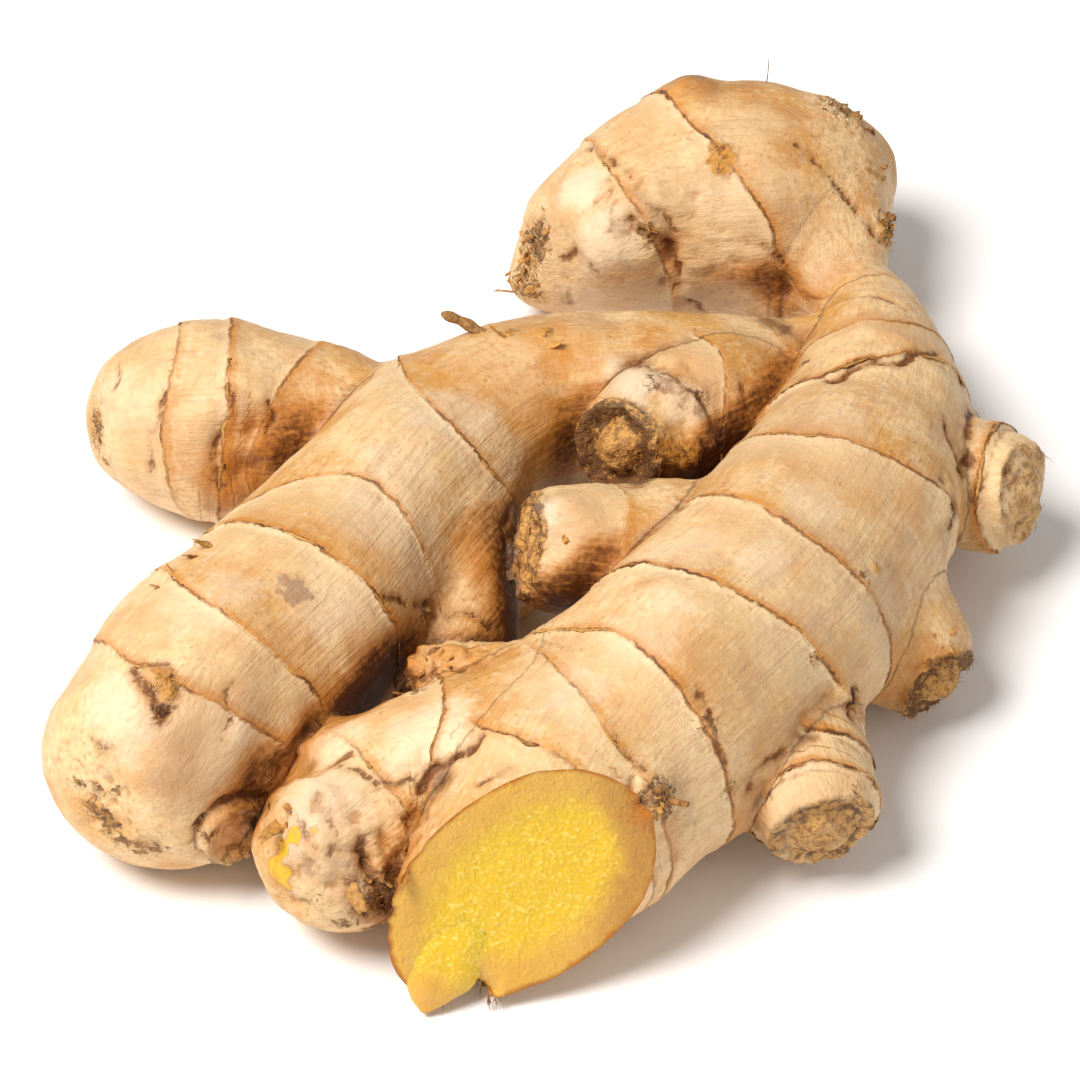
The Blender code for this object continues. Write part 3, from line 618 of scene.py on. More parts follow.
def crackMarks(points, tree):
    # how far each point is from the nearest crack, in widths of that crack, and the crack's groove
    gap = np.full(len(points), 4.0)
    seeds = (1.0, 2.0, 3.0)
    wander = 0.8 * np.stack([noiseAt(points, 3.0, seed) for seed in seeds], axis=1)
    wander += 0.35 * np.stack([noiseAt(points, 1.1, seed) for seed in seeds], axis=1)
    fading = smoothStep(0.95 + 1.5 * noiseAt(points, 3.5, 4.0))
    moved = points + wander
    strengthAt = np.zeros(len(points))
    groove = np.zeros(len(points))
    for width, depth, strength, pixels in cracks:
        found = [onPhoto(tree, pixel) for pixel in pixels]
        path = np.array([tuple(spot) for spot in found if spot is not None])
        if len(path) < 2:
            continue
        pick = np.flatnonzero(((points > path.min(0) - 3) & (points < path.max(0) + 3)).all(axis=1))
        for start, end in zip(path, path[1:]):
            span = end - start
            if not 0.01 < np.linalg.norm(span) < 12:
                continue
            share = np.clip((moved[pick] - start) @ span / (span @ span), 0, 1)
            far = np.linalg.norm(moved[pick] - start - share[:, None] * span, axis=1)
            nearer = far / width < gap[pick]
            gap[pick[nearer]] = far[nearer] / width
            strengthAt[pick[nearer]] = strength * fading[pick[nearer]]
            groove[pick] = np.maximum(groove[pick], depth * fading[pick] * np.exp(-(far / 0.6) ** 2))
    return gap, strengthAt, groove


def fusedRoot():
    # the finger tubes fused to one fine closed skin, in millimetres
    together = bmesh.new()
    for name in fingers:
        tube = fingerTube(name)
        shape = evaluatedMesh(tube)
        together.from_mesh(shape)
        bpy.data.meshes.remove(shape)
        bpy.data.objects.remove(tube, do_unlink=True)
    bmesh.ops.remove_doubles(together, verts=together.verts, dist=0.01)
    mesh = bpy.data.meshes.new("fused")
    together.to_mesh(mesh)
    together.free()
    whole = newObject("fused", mesh)
    fuse = whole.modifiers.new("fuse", "REMESH")
    fuse.mode = "VOXEL"
    fuse.voxel_size = bodyLook["voxel"]
    fine = evaluatedMesh(whole)
    bpy.data.objects.remove(whole, do_unlink=True)
    return fine


knifeCut = {
    "middle": (2.0, -66.5, 20.0),
    "normal": (0.1, -0.93, 0.35),
    "bite": (-9.0, -75.5, 1.5),  # flesh and skin missing at the low corner
    "biteHalf": (2.8, 4.5, 4.0),
    "net": 0.55,  # size of its triangles
    "hollow": 0.7,
    "grain": 0.16,
    "stainPlace": (13.5, -62.0, 24.5),  # the flesh has browned at the upper right corner
    "stainReach": 7.0,
}
knifeFacing = np.array(knifeCut["normal"]) / np.linalg.norm(knifeCut["normal"])


def cutOpen(mesh):
    # takes off what lies past the knife and the bitten corner, and leaves the cut open
    facing = Vector(knifeCut["normal"]).normalized()
    whole = bmesh.new()
    whole.from_mesh(mesh)
    bmesh.ops.bisect_plane(whole, geom=whole.verts[:] + whole.edges[:] + whole.faces[:], dist=1e-4,
                           plane_co=knifeCut["middle"], plane_no=facing, clear_outer=True)
    bite, half = Vector(knifeCut["bite"]), knifeCut["biteHalf"]
    lost = [vert for vert in whole.verts
            if sum(((vert.co[i] - bite[i]) / half[i]) ** 2 for i in range(3)) < 1]
    bmesh.ops.delete(whole, geom=lost, context="VERTS")
    islands = looseParts(whole)
    for island in sorted(islands, key=len)[:-1]:
        bmesh.ops.delete(whole, geom=island, context="VERTS")
    whole.to_mesh(mesh)
    whole.free()


def looseParts(whole):
    left = set(whole.verts)
    parts = []
    while left:
        queue = [left.pop()]
        part = []
        while queue:
            vert = queue.pop()
            part.append(vert)
            for edge in vert.link_edges:
                other = edge.other_vert(vert)
                if other in left:
                    left.remove(other)
                    queue.append(other)
        parts.append(part)
    return parts


def waviness(points):
    # gentle waviness of the whole skin from a few slanted waves
    rng = np.random.default_rng(7)
    total = np.zeros(len(points))
    for _ in range(9):
        heading = rng.normal(size=3)
        heading /= np.linalg.norm(heading)
        waveLength = rng.uniform(14, 34)
        total += np.sin(points @ heading * 2 * math.pi / waveLength + rng.uniform(0, 2 * math.pi))
    return bodyLook["waviness"] * total / 3


def spots(points, places):
    # the strongest of some soft round spots at each point
    total = np.zeros(len(points))
    for x, y, z, reach, strength in places:
        far = np.linalg.norm(points - (x, y, z), axis=1) / reach
        total = np.maximum(total, strength * (1 - smoothStep((far - 0.55) / 0.75)))
    return total


def ringMarks(points, gaps, lowest):
    # relief of the growth rings, and what their lines and bands need in the shader
    count = len(points)
    relief = np.zeros(count)
    marks = {"ringSide": np.full(count, 3.0), "ringShare": np.zeros(count), "youngSkin": np.zeros(count)}
    closest = np.full(count, 99.0)
    second = np.full(count, 99.0)
    pastOf = []
    for name, place, slant, bow, strength, scale in rings:
        middle, along, sideways = frameAt(name, place)
        line, arc = lines[name]
        radius = np.interp(place, arc, line[:, 3])
        far = np.linalg.norm(points - middle, axis=1) / radius
        pick = np.flatnonzero((far < 2.1) & (gaps[name] - lowest < 2.5))
        own = 1 - smoothStep((gaps[name][pick] - lowest[pick]) / 2.5)
        near = own * (1 - smoothStep((far[pick] - 1.5) / 0.6))
        off = points[pick] - middle
        side = off @ sideways
        past = off @ along + slant * side + bow * side * side / radius
        past += 0.7 * noiseAt(points[pick], 7.0, place) + 0.3 * noiseAt(points[pick], 1.7, place)
        drop = smoothStep(past / bodyLook["ringDrop"])
        before = np.exp(np.minimum(past, 0) / bodyLook["ringRise"]) * (1 - drop)
        after = np.exp(-np.maximum(past, 0) / bodyLook["ringRise"]) * drop
        relief[pick] += bodyLook["ringHeight"] * strength * near * (before - 0.35 * after)
        band = near * np.exp(-np.maximum(past, 0) / bodyLook["bandLength"]) * (past > 0)
        marks["youngSkin"][pick] = np.maximum(marks["youngSkin"][pick], band)
        level = np.where(near > 0.05, np.abs(past), 99.0)
        nearer = level < closest[pick]
        second[pick] = np.minimum(second[pick], np.where(nearer, closest[pick], level))
        chosen = pick[nearer]
        closest[chosen] = np.abs(past[nearer])
        marks["ringSide"][chosen] = np.clip(past[nearer], -3, 3)
        marks["ringShare"][chosen] = (min(strength, 1.0) * near * smoothStep(3 - np.abs(past)))[nearer]
        everywhere = np.full(count, 99.0)
        everywhere[pick[near > 0.25]] = past[near > 0.25]
        pastOf.append(everywhere)
    marks["ringShare"] *= smoothStep((second - closest) / 1.5)
    return relief, marks, pastOf


def grainCoordinates(points, gaps):
    # sideways, upward and along each point's own finger, so that fibres follow it
    names = list(fingers)
    parents = np.array([names.index(swellingOf.get(name, name)) for name in names])
    own = parents[np.argmin([gaps[name] for name in names], axis=0)]
    grain = np.zeros((len(points), 3))
    endMask = np.zeros(len(points))
    endRadius = np.zeros(len(points))
    endRelief = np.zeros(len(points))
    endDark = np.zeros(len(points))
    for index, name in enumerate(names):
        pick = np.flatnonzero(own == index)
        if not len(pick):
            continue
        line, arc = lines[name]
        _, best, share = nearestOnFinger(points[pick], name)
        span = np.diff(line[:, :3], axis=0)
        along = span / np.linalg.norm(span, axis=1)[:, None]
        upward = np.array([upwardOf(one) for one in along])
        sideways = np.cross(upward, along)
        off = points[pick] - line[best, :3] - share[:, None] * span[best]
        place = arc[best] + share * np.linalg.norm(span[best], axis=1)
        grain[pick] = np.stack([(off * sideways[best]).sum(1), (off * upward[best]).sum(1),
                                place + (off * along[best]).sum(1) + 170 * index], axis=1)
        if name in flatEnds:
            swelling, groove, rim, folds, dark, bare = endLook[name]
            tip, heading, _ = frameAt(name, arc[-1])
            fromTip = points[pick] - tip
            level = fromTip @ heading - flatEnds[name]
            across = np.linalg.norm(fromTip - (fromTip @ heading)[:, None] * heading, axis=1)
            endMask[pick] = smoothStep((level + 1.6) / 1.0)
            radius = across / (0.85 * line[-1, 3]) + 0.12 * noiseAt(points[pick], 3.0, index)
            endRadius[pick] = radius
            height = swelling * np.exp(-(radius / 0.5) ** 2)
            height -= groove * np.exp(-((radius - 0.72) / 0.17) ** 2)
            height += rim * np.exp(-((radius - 1.0) / 0.16) ** 2)
            height += 0.2 * np.sin(20 * radius)
            height += folds * (ridgesAt(points[pick], 1.9, index) - 0.55)
            endRelief[pick] = endMask[pick] * height
            endDark[pick] = dark * endMask[pick] * np.exp(-((radius - 0.85) / 0.3) ** 2)
            endMask[pick] *= bare
    return grain, {"brokenEnd": endMask, "endRadius": endRadius, "endDark": endDark}, endRelief


def giveAttribute(mesh, name, values):
    kind, field = ("FLOAT", "value") if values.ndim == 1 else ("FLOAT_VECTOR", "vector")
    made = mesh.attributes.new(name, kind, "POINT")
    made.data.foreach_set(field, np.ascontiguousarray(values, dtype=np.float32).ravel())


def toFrame(points):
    return (np.asarray(points, float) - sketchMiddle) * mm


def skinBody():
    # the whole skin with its relief, in the sketch's millimetres until the last step
    mesh = fusedRoot()
    points, edges = meshArrays(mesh)
    points, _ = settle(points, 2)
    for _ in range(3):
        points = 0.4 * points + 0.6 * neighbourMean(points, edges)
    points, _ = settle(points, 2)
    setPlaces(mesh, points)
    cutOpen(mesh)
    points, edges = meshArrays(mesh)
    normals = normalsOf(mesh)
    print("skin settled,", len(points), "points")

    sliced = [skinField(some)[1] for some in slicesOf(points)]
    gaps = {name: np.concatenate([one[name] for one in sliced]) for name in fingers}
    lowest = np.min(list(gaps.values()), axis=0)
    relief, marks, pastOf = ringMarks(points, gaps, lowest)
    relief += waviness(points)
    for x, y, z, reach, height in bumps:
        relief += height * np.exp(-((points - (x, y, z)) ** 2).sum(1) / reach**2)
    relief += bodyLook["lumps"] * noiseAt(points, 5.5, 1) + bodyLook["pitting"] * noiseAt(points, 1.4, 2)

    grain, endMarks, endRelief = grainCoordinates(points, gaps)
    relief += endRelief
    drawn = grain * (1, 1, 0.12)
    relief += 0.07 * noiseAt(drawn, 1.6, 3) + 0.12 * noiseAt(drawn, 4.2, 4)

    for x, y, z, reach, height, fold in puckers:
        far = np.linalg.norm(points - (x, y, z), axis=1) / reach
        pick = np.flatnonzero(far < 1.5)
        weight = 1 - smoothStep((far[pick] - 0.5) / 0.9)
        relief[pick] += height * weight * (ridgesAt(points[pick], fold, x) - 0.55)
    torn = spots(points, [place[:5] for place in tornPlaces])
    for x, y, z, reach, _, rough in tornPlaces:
        far = np.linalg.norm(points - (x, y, z), axis=1) / reach
        pick = np.flatnonzero(far < 1.3)
        weight = 1 - smoothStep((far[pick] - 0.6) / 0.6)
        relief[pick] += rough * weight * (ridgesAt(points[pick], 1.5, y) - 0.6)
    tree = skinTreeOf(points, mesh)
    crackGap, crackShare, groove = crackMarks(points, tree)
    stained = stainMarks(points, normals, tree)
    stained["torn"] = np.maximum(stained["torn"], torn)
    discRelief, stained["disc"] = discMarks(points, normals, tree)
    relief += discRelief + smallRelief(points, normals, tree) - groove
    rough = np.flatnonzero(stained["torn"] > 0.05)
    relief[rough] += 0.5 * stained["torn"][rough] * (ridgesAt(points[rough], 1.6, 5) - 0.6)
    relief -= 0.35 * stained["flesh"]
    relief += 0.2 * stained["scab"]

    points = points + relief[:, None] * normals
    points[:, 2] = np.maximum(points[:, 2], 0.0)
    setPlaces(mesh, points)
    normals = normalsOf(mesh)
    # how hollow the skin is near each point and how far it lies down in a valley, used to paint shade into
    # the folds
    pull = ((neighbourMean(points, edges) - points) * normals).sum(1)[:, None]
    for _ in range(2):
        pull = 0.5 * pull + 0.5 * neighbourMean(pull, edges)
    hollow = np.clip(pull[:, 0] / 0.06, -1, 1)
    spread = points.copy()
    for _ in range(40):
        spread = neighbourMean(spread, edges)
    valley = ((spread - points) * normals).sum(1)

    giveAttribute(mesh, "grain", grain)
    for name, values in marks.items():
        giveAttribute(mesh, name, values)
    giveAttribute(mesh, "valley", valley)
    shelter = shelterOf(points, normals, skinTreeOf(points, mesh))[:, None]
    for _ in range(8):
        shelter = neighbourMean(shelter, edges)
    giveAttribute(mesh, "shelter", shelter[:, 0])
    giveAttribute(mesh, "crackGap", crackGap)
    giveAttribute(mesh, "crackShare", crackShare)
    giveAttribute(mesh, "hollow", hollow)
    for name, values in (stained | endMarks).items():
        giveAttribute(mesh, name, values)
    return mesh, points, edges, normals, pastOf


def openLoop(mesh):
    # the longest open border of the skin as vertex numbers in order
    whole = bmesh.new()
    whole.from_mesh(mesh)
    left = {edge for edge in whole.edges if edge.is_boundary}
    loops = []
    while left:
        edge = left.pop()
        loop = [edge.verts[0], edge.verts[1]]
        while True:
            nextEdge = next((one for one in loop[-1].link_edges if one in left), None)
            if nextEdge is None:
                break
            left.remove(nextEdge)
            loop.append(nextEdge.other_vert(loop[-1]))
        loops.append([vert.index for vert in loop[:-1]])
    whole.free()
    return max(loops, key=len)


def cutFlesh(points, loop):
    # the knife cut: an even net of triangles inside the skin's own border, slightly hollow and grainy
    border = points[loop]
    facing = knifeFacing
    across = np.cross((0, 0, 1), facing)
    across /= np.linalg.norm(across)
    upward = np.cross(facing, across)
    off = border - knifeCut["middle"]
    flat = np.stack([off @ across, off @ upward], axis=1)
    step = knifeCut["net"]
    low, high = flat.min(0), flat.max(0)
    inner = [(x + step / 2 * (row % 2), y)
             for row, y in enumerate(np.arange(low[1], high[1], step * 0.87))
             for x in np.arange(low[0], high[0], step)]
    inner = np.array([spot for spot in inner if np.linalg.norm(flat - spot, axis=1).min() > 0.6 * step])
    outline = [(i, (i + 1) % len(flat)) for i in range(len(flat))]
    corners = [Vector(spot) for spot in np.vstack([flat, inner])]
    made, _, faces, origin, _, _ = delaunay_2d_cdt(corners, outline, [], 1, 1e-6)
    made = np.array([tuple(spot) for spot in made])
    fromBorder = np.linalg.norm(made[:, None, :] - flat[None], axis=2)
    nearest = fromBorder.argmin(axis=1)
    depth = fromBorder[np.arange(len(made)), nearest]
    lean = (off @ facing)[nearest] * np.exp(-depth / 1.2)
    plane = np.array(knifeCut["middle"]) + made[:, :1] * across + made[:, 1:] * upward
    grit = knifeCut["grain"] * (noiseAt(plane, 0.9, 11) + 0.6 * noiseAt(plane, 2.4, 12))
    sink = knifeCut["hollow"] * smoothStep(depth / 9)
    places = plane + (lean + smoothStep(depth / 1.5) * (grit - sink))[:, None] * facing
    mesh = bpy.data.meshes.new("cutFlesh")
    mesh.from_pydata([tuple(point) for point in places], [], faces)
    mesh.update()
    if normalsOf(mesh).mean(axis=0) @ facing < 0:
        mesh.flip_normals()
    # distance from the skin in millimetres, which sets the rim, the outer ring and the grainy core
    giveAttribute(mesh, "depth", depth)
    far = np.linalg.norm(places - knifeCut["stainPlace"], axis=1) / knifeCut["stainReach"]
    giveAttribute(mesh, "stained", 1 - smoothStep(far))
    return mesh


def tubeFaces(rows, sides):
    # the faces of a closed tube whose points come row by row
    faces = []
    for i in range(rows - 1):
        for k in range(sides):
            a, b = i * sides, (i + 1) * sides
            faces.append((a + k, a + (k + 1) % sides, b + (k + 1) % sides, b + k))
    faces.append(tuple(range(sides))[::-1])
    faces.append(tuple(range((rows - 1) * sides, rows * sides)))
    return faces


def tubeMesh(path, radii, sides, squash=1.0):
    # a closed tapering tube round a path, used for the rootlets and the fibres
    path = np.asarray(path, float)
    verts = []
    for i, point in enumerate(path):
        along = path[min(i + 1, len(path) - 1)] - path[max(i - 1, 0)]
        along = along / np.linalg.norm(along)
        side = np.cross(along, (0.13, 0.21, 0.97))
        side /= np.linalg.norm(side)
        lift = np.cross(side, along)
        for k in range(sides):
            angle = 2 * math.pi * k / sides
            verts.append(point + radii[i] * (math.cos(angle) * side + squash * math.sin(angle) * lift))
    return verts, tubeFaces(len(path), sides)


class Heap:
    # gathers many small shapes into one mesh, in sketch millimetres
    def __init__(self):
        self.verts, self.faces, self.shade = [], [], []

    def add(self, shape, shade=0.5):
        verts, faces = shape
        first = len(self.verts)
        self.verts += [tuple(vert) for vert in verts]
        self.faces += [tuple(first + i for i in face) for face in faces]
        self.shade += [shade] * len(verts)

    def mesh(self, name):
        made = bpy.data.meshes.new(name)
        places = np.array(self.verts)
        places[:, 2] = np.maximum(places[:, 2], 0.02)
        made.from_pydata([tuple(point) for point in toFrame(places)], [], self.faces)
        giveAttribute(made, "shade", np.array(self.shade))
        made.update()
        return made


scaleLook = {
    "most": 0.8,  # how far the torn scale leaf reaches past its ring
    "lift": 0.22,
    "thick": 0.06,
    "bare": 0.05,  # below this noise value the ring is bare
}


def ringPaths(past, points, normals, edges, ring):
    # where a growth ring runs over the skin, as runs of points, normals and directions to the tip
    name, place = ring[0], ring[1]
    middle, along, sideways = frameAt(name, place)
    a, b = edges[:, 0], edges[:, 1]
    hit = (past[a] < 50) & (past[b] < 50) & ((past[a] < 0) != (past[b] < 0))
    a, b = a[hit], b[hit]
    if len(a) < 12:
        return []
    share = (past[a] / (past[a] - past[b]))[:, None]
    spots = points[a] + share * (points[b] - points[a])
    facing = normals[a] + share * (normals[b] - normals[a])
    off = spots - middle
    angle = np.arctan2(off @ np.cross(along, sideways), off @ sideways)
    order = np.argsort(angle)
    spots, facing, angle = spots[order], facing[order], angle[order]
    steps = 260
    bins = np.floor((angle + math.pi) / (2 * math.pi) * steps).astype(int)
    runs, run = [], []
    for number in range(steps):
        pick = bins == number
        if not pick.any():
            continue
        spot, normal = spots[pick].mean(0), facing[pick].mean(0)
        normal /= np.linalg.norm(normal)
        if run and np.linalg.norm(spot - run[-1][0]) > 1.8:
            runs.append(run)
            run = []
        run.append((spot, normal))
    runs.append(run)
    return [(run, along) for run in runs if len(run) > 8]


def scaleStrip(run, along, ring, heap, rng):
    # what is left of the dry scale leaf: a thin ragged strip that stands off the ring
    seed = rng.uniform(0, 50)
    rows = []
    for i, (spot, normal) in enumerate(run):
        taper = min(1.0, i / 4, (len(run) - 1 - i) / 4)
        level = noise.noise(Vector(spot) / 4.0 + Vector((seed, 0, 0))) - scaleLook["bare"]
        ragged = 0.5 + 0.5 * noise.noise(Vector(spot) / 0.7 + Vector((0, seed, 0)))
        reach = ring[5] * scaleLook["most"] * max(level, 0.0) * 1.4 * (0.35 + ragged) * taper
        heading = along - (along @ normal) * normal
        heading /= np.linalg.norm(heading)
        rows.append((spot, normal, heading, min(reach, 1.6 * ring[5])))
    strip = []
    for row in rows + [None]:
        if row is not None and row[3] > 0.06:
            strip.append(row)
            continue
        if len(strip) > 2:
            verts, faces = [], []
            for spot, normal, heading, reach in strip:
                lift = scaleLook["lift"] * min(1.0, reach)
                root = spot - 0.35 * heading - 0.12 * normal
                bend = spot + 0.35 * reach * heading + 0.75 * lift * normal
                edge = spot + reach * heading + lift * normal
                under = bend - scaleLook["thick"] * normal
                verts += [root, bend, edge, under]
            for i in range(len(strip) - 1):
                a, b = 4 * i, 4 * (i + 1)
                faces += [(a, b, b + 1, a + 1), (a + 1, b + 1, b + 2, a + 2), (a + 2, b + 2, b + 3, a + 3),
                          (a + 3, b + 3, b, a)]
            last = 4 * (len(strip) - 1)
            faces += [(0, 1, 2, 3), (last + 3, last + 2, last + 1, last)]
            heap.add((verts, faces), rng.uniform(0.2, 1.0))
        strip = []


fibreLook = {
    "onRings": 200,
    "onScars": 420,
    "onEnds": {"innerStub": 150, "southEastStub": 80, "westStub": 50, "eastStub": 40, "southStub": 30,
               "bud": 20},
    "inBite": 60,
    "length": (0.4, 1.5),
    "scarLength": (0.4, 1.3),
    "endLength": (0.7, 2.2),
    "biteLength": (0.8, 2.4),
    "radius": (0.025, 0.05),
}


def fibre(spot, normal, heading, rng, lengths=None):
    # one torn fibre that leaves the skin, bends over and ends in a point
    length = rng.uniform(*(lengths or fibreLook["length"]))
    radius = rng.uniform(*fibreLook["radius"])
    away = heading + 0.5 * normal + rng.normal(scale=0.45, size=3)
    away /= np.linalg.norm(away)
    path = []
    for t in np.linspace(0, 1, 5):
        path.append(spot - 0.15 * normal + length * t * away + normal * (0.35 * length * t * (1 - t))
                    - np.array([0, 0, 0.1]) * length * t * t)
    return tubeMesh(path, [radius, 0.9 * radius, 0.75 * radius, 0.5 * radius, 0.15 * radius], 4)


def flake(spot, normal, heading, length, width, curl, rng):
    # a crumpled flake of dry skin, held by one edge
    side = np.cross(normal, heading)
    rows, columns = 7, 5
    verts, faces = [], []
    seed = rng.uniform(0, 90)
    for layer in (0, 1):
        for i in range(rows):
            t = i / (rows - 1)
            for j in range(columns):
                u = j / (columns - 1) - 0.5
                ragged = 1 + 0.35 * noise.noise(Vector((seed + 3 * u, 2 * t, seed)))
                point = spot + heading * length * t * ragged + side * width * u * (1 - 0.35 * t) * ragged
                crumple = 0.3 * noise.noise(Vector((seed, 4 * u, 3 * t)))
                point = point + normal * (curl * t * t + crumple * width * 0.4 - 0.2 * (1 - t) - 0.12 * layer)
                verts.append(point)
    size = rows * columns
    for i in range(rows - 1):
        for j in range(columns - 1):
            a = i * columns + j
            faces.append((a, a + 1, a + columns + 1, a + columns))
            faces.append((size + a, size + a + columns, size + a + columns + 1, size + a + 1))
    border = [(0, j) for j in range(columns)] + [(i, columns - 1) for i in range(1, rows)]
    border += [(rows - 1, j) for j in range(columns - 2, -1, -1)] + [(i, 0) for i in range(rows - 2, 0, -1)]
    ids = [i * columns + j for i, j in border]
    for a, b in zip(ids, ids[1:] + ids[:1]):
        faces.append((a, size + a, size + b, b))
    return verts, faces


def colour(hexText):
    parts = [int(hexText[i:i + 2], 16) / 255 for i in (1, 3, 5)]
    return [part / 12.92 if part <= 0.04045 else ((part + 0.055) / 1.055) ** 2.4 for part in parts] + [1.0]


def addNode(tree, kind, settings, links, output=0):
    node = tree.nodes.new("ShaderNode" + kind)
    for name, value in settings.items():
        setattr(node, name, value)
    for name, value in links.items():
        if isinstance(value, bpy.types.NodeSocket):
            tree.links.new(value, node.inputs[name])
        else:
            node.inputs[name].default_value = value
    return node.outputs[output] if node.outputs else node


def newMaterial(name):
    made = bpy.data.materials.new(name)
    made.use_nodes = True
    made.node_tree.nodes.clear()
    return made, made.node_tree


def placeInMm(tree):
    place = addNode(tree, "TexCoord", {}, {}, "Object")
    return addNode(tree, "VectorMath", {"operation": "SCALE"}, {0: place, "Scale": 1 / mm})


# settings that many nodes share
times = {"operation": "MULTIPLY"}
plus = {"operation": "ADD"}
minus = {"operation": "SUBTRACT"}
timesPlus = {"operation": "MULTIPLY_ADD"}
most = {"operation": "MAXIMUM"}
positive = {"operation": "ABSOLUTE"}
soft = {"interpolation_type": "SMOOTHSTEP"}
paint = {"data_type": "RGBA", "clamp_factor": True}

skinLook = {
    "tan": "#CD9850",
    "pale": "#E3BE8A",
    "golden": "#C27B28",
    "cream": "#F0D9B0",
    "white": "#F2E2C8",
    "dull": "#B8926C",
    "streak": "#9E6226",
    # dark brown of the painted shade in the folds and gaps
    "creviceShade": "#4C2408",
    "line": "#6A3A14",
    "tornDark": "#4A2810",
    "tornLight": "#9A6730",
    "grey": "#A08268",
    "scab": "#C98C33",
    "flesh": "#E5B02B",
    "patchSize": 13.0,
    "goldenSize": 9.0,
    "fibreWidth": 0.7,  # real fibres are about 0.2 mm wide, drawn this coarse so that they show
    "fibreLength": 12.0,
    "fineWidth": 0.3,
    "fineLength": 2.6,
    "speckSize": 0.8,
    "lineWidth": 0.2,
    "roughness": 0.52,
}


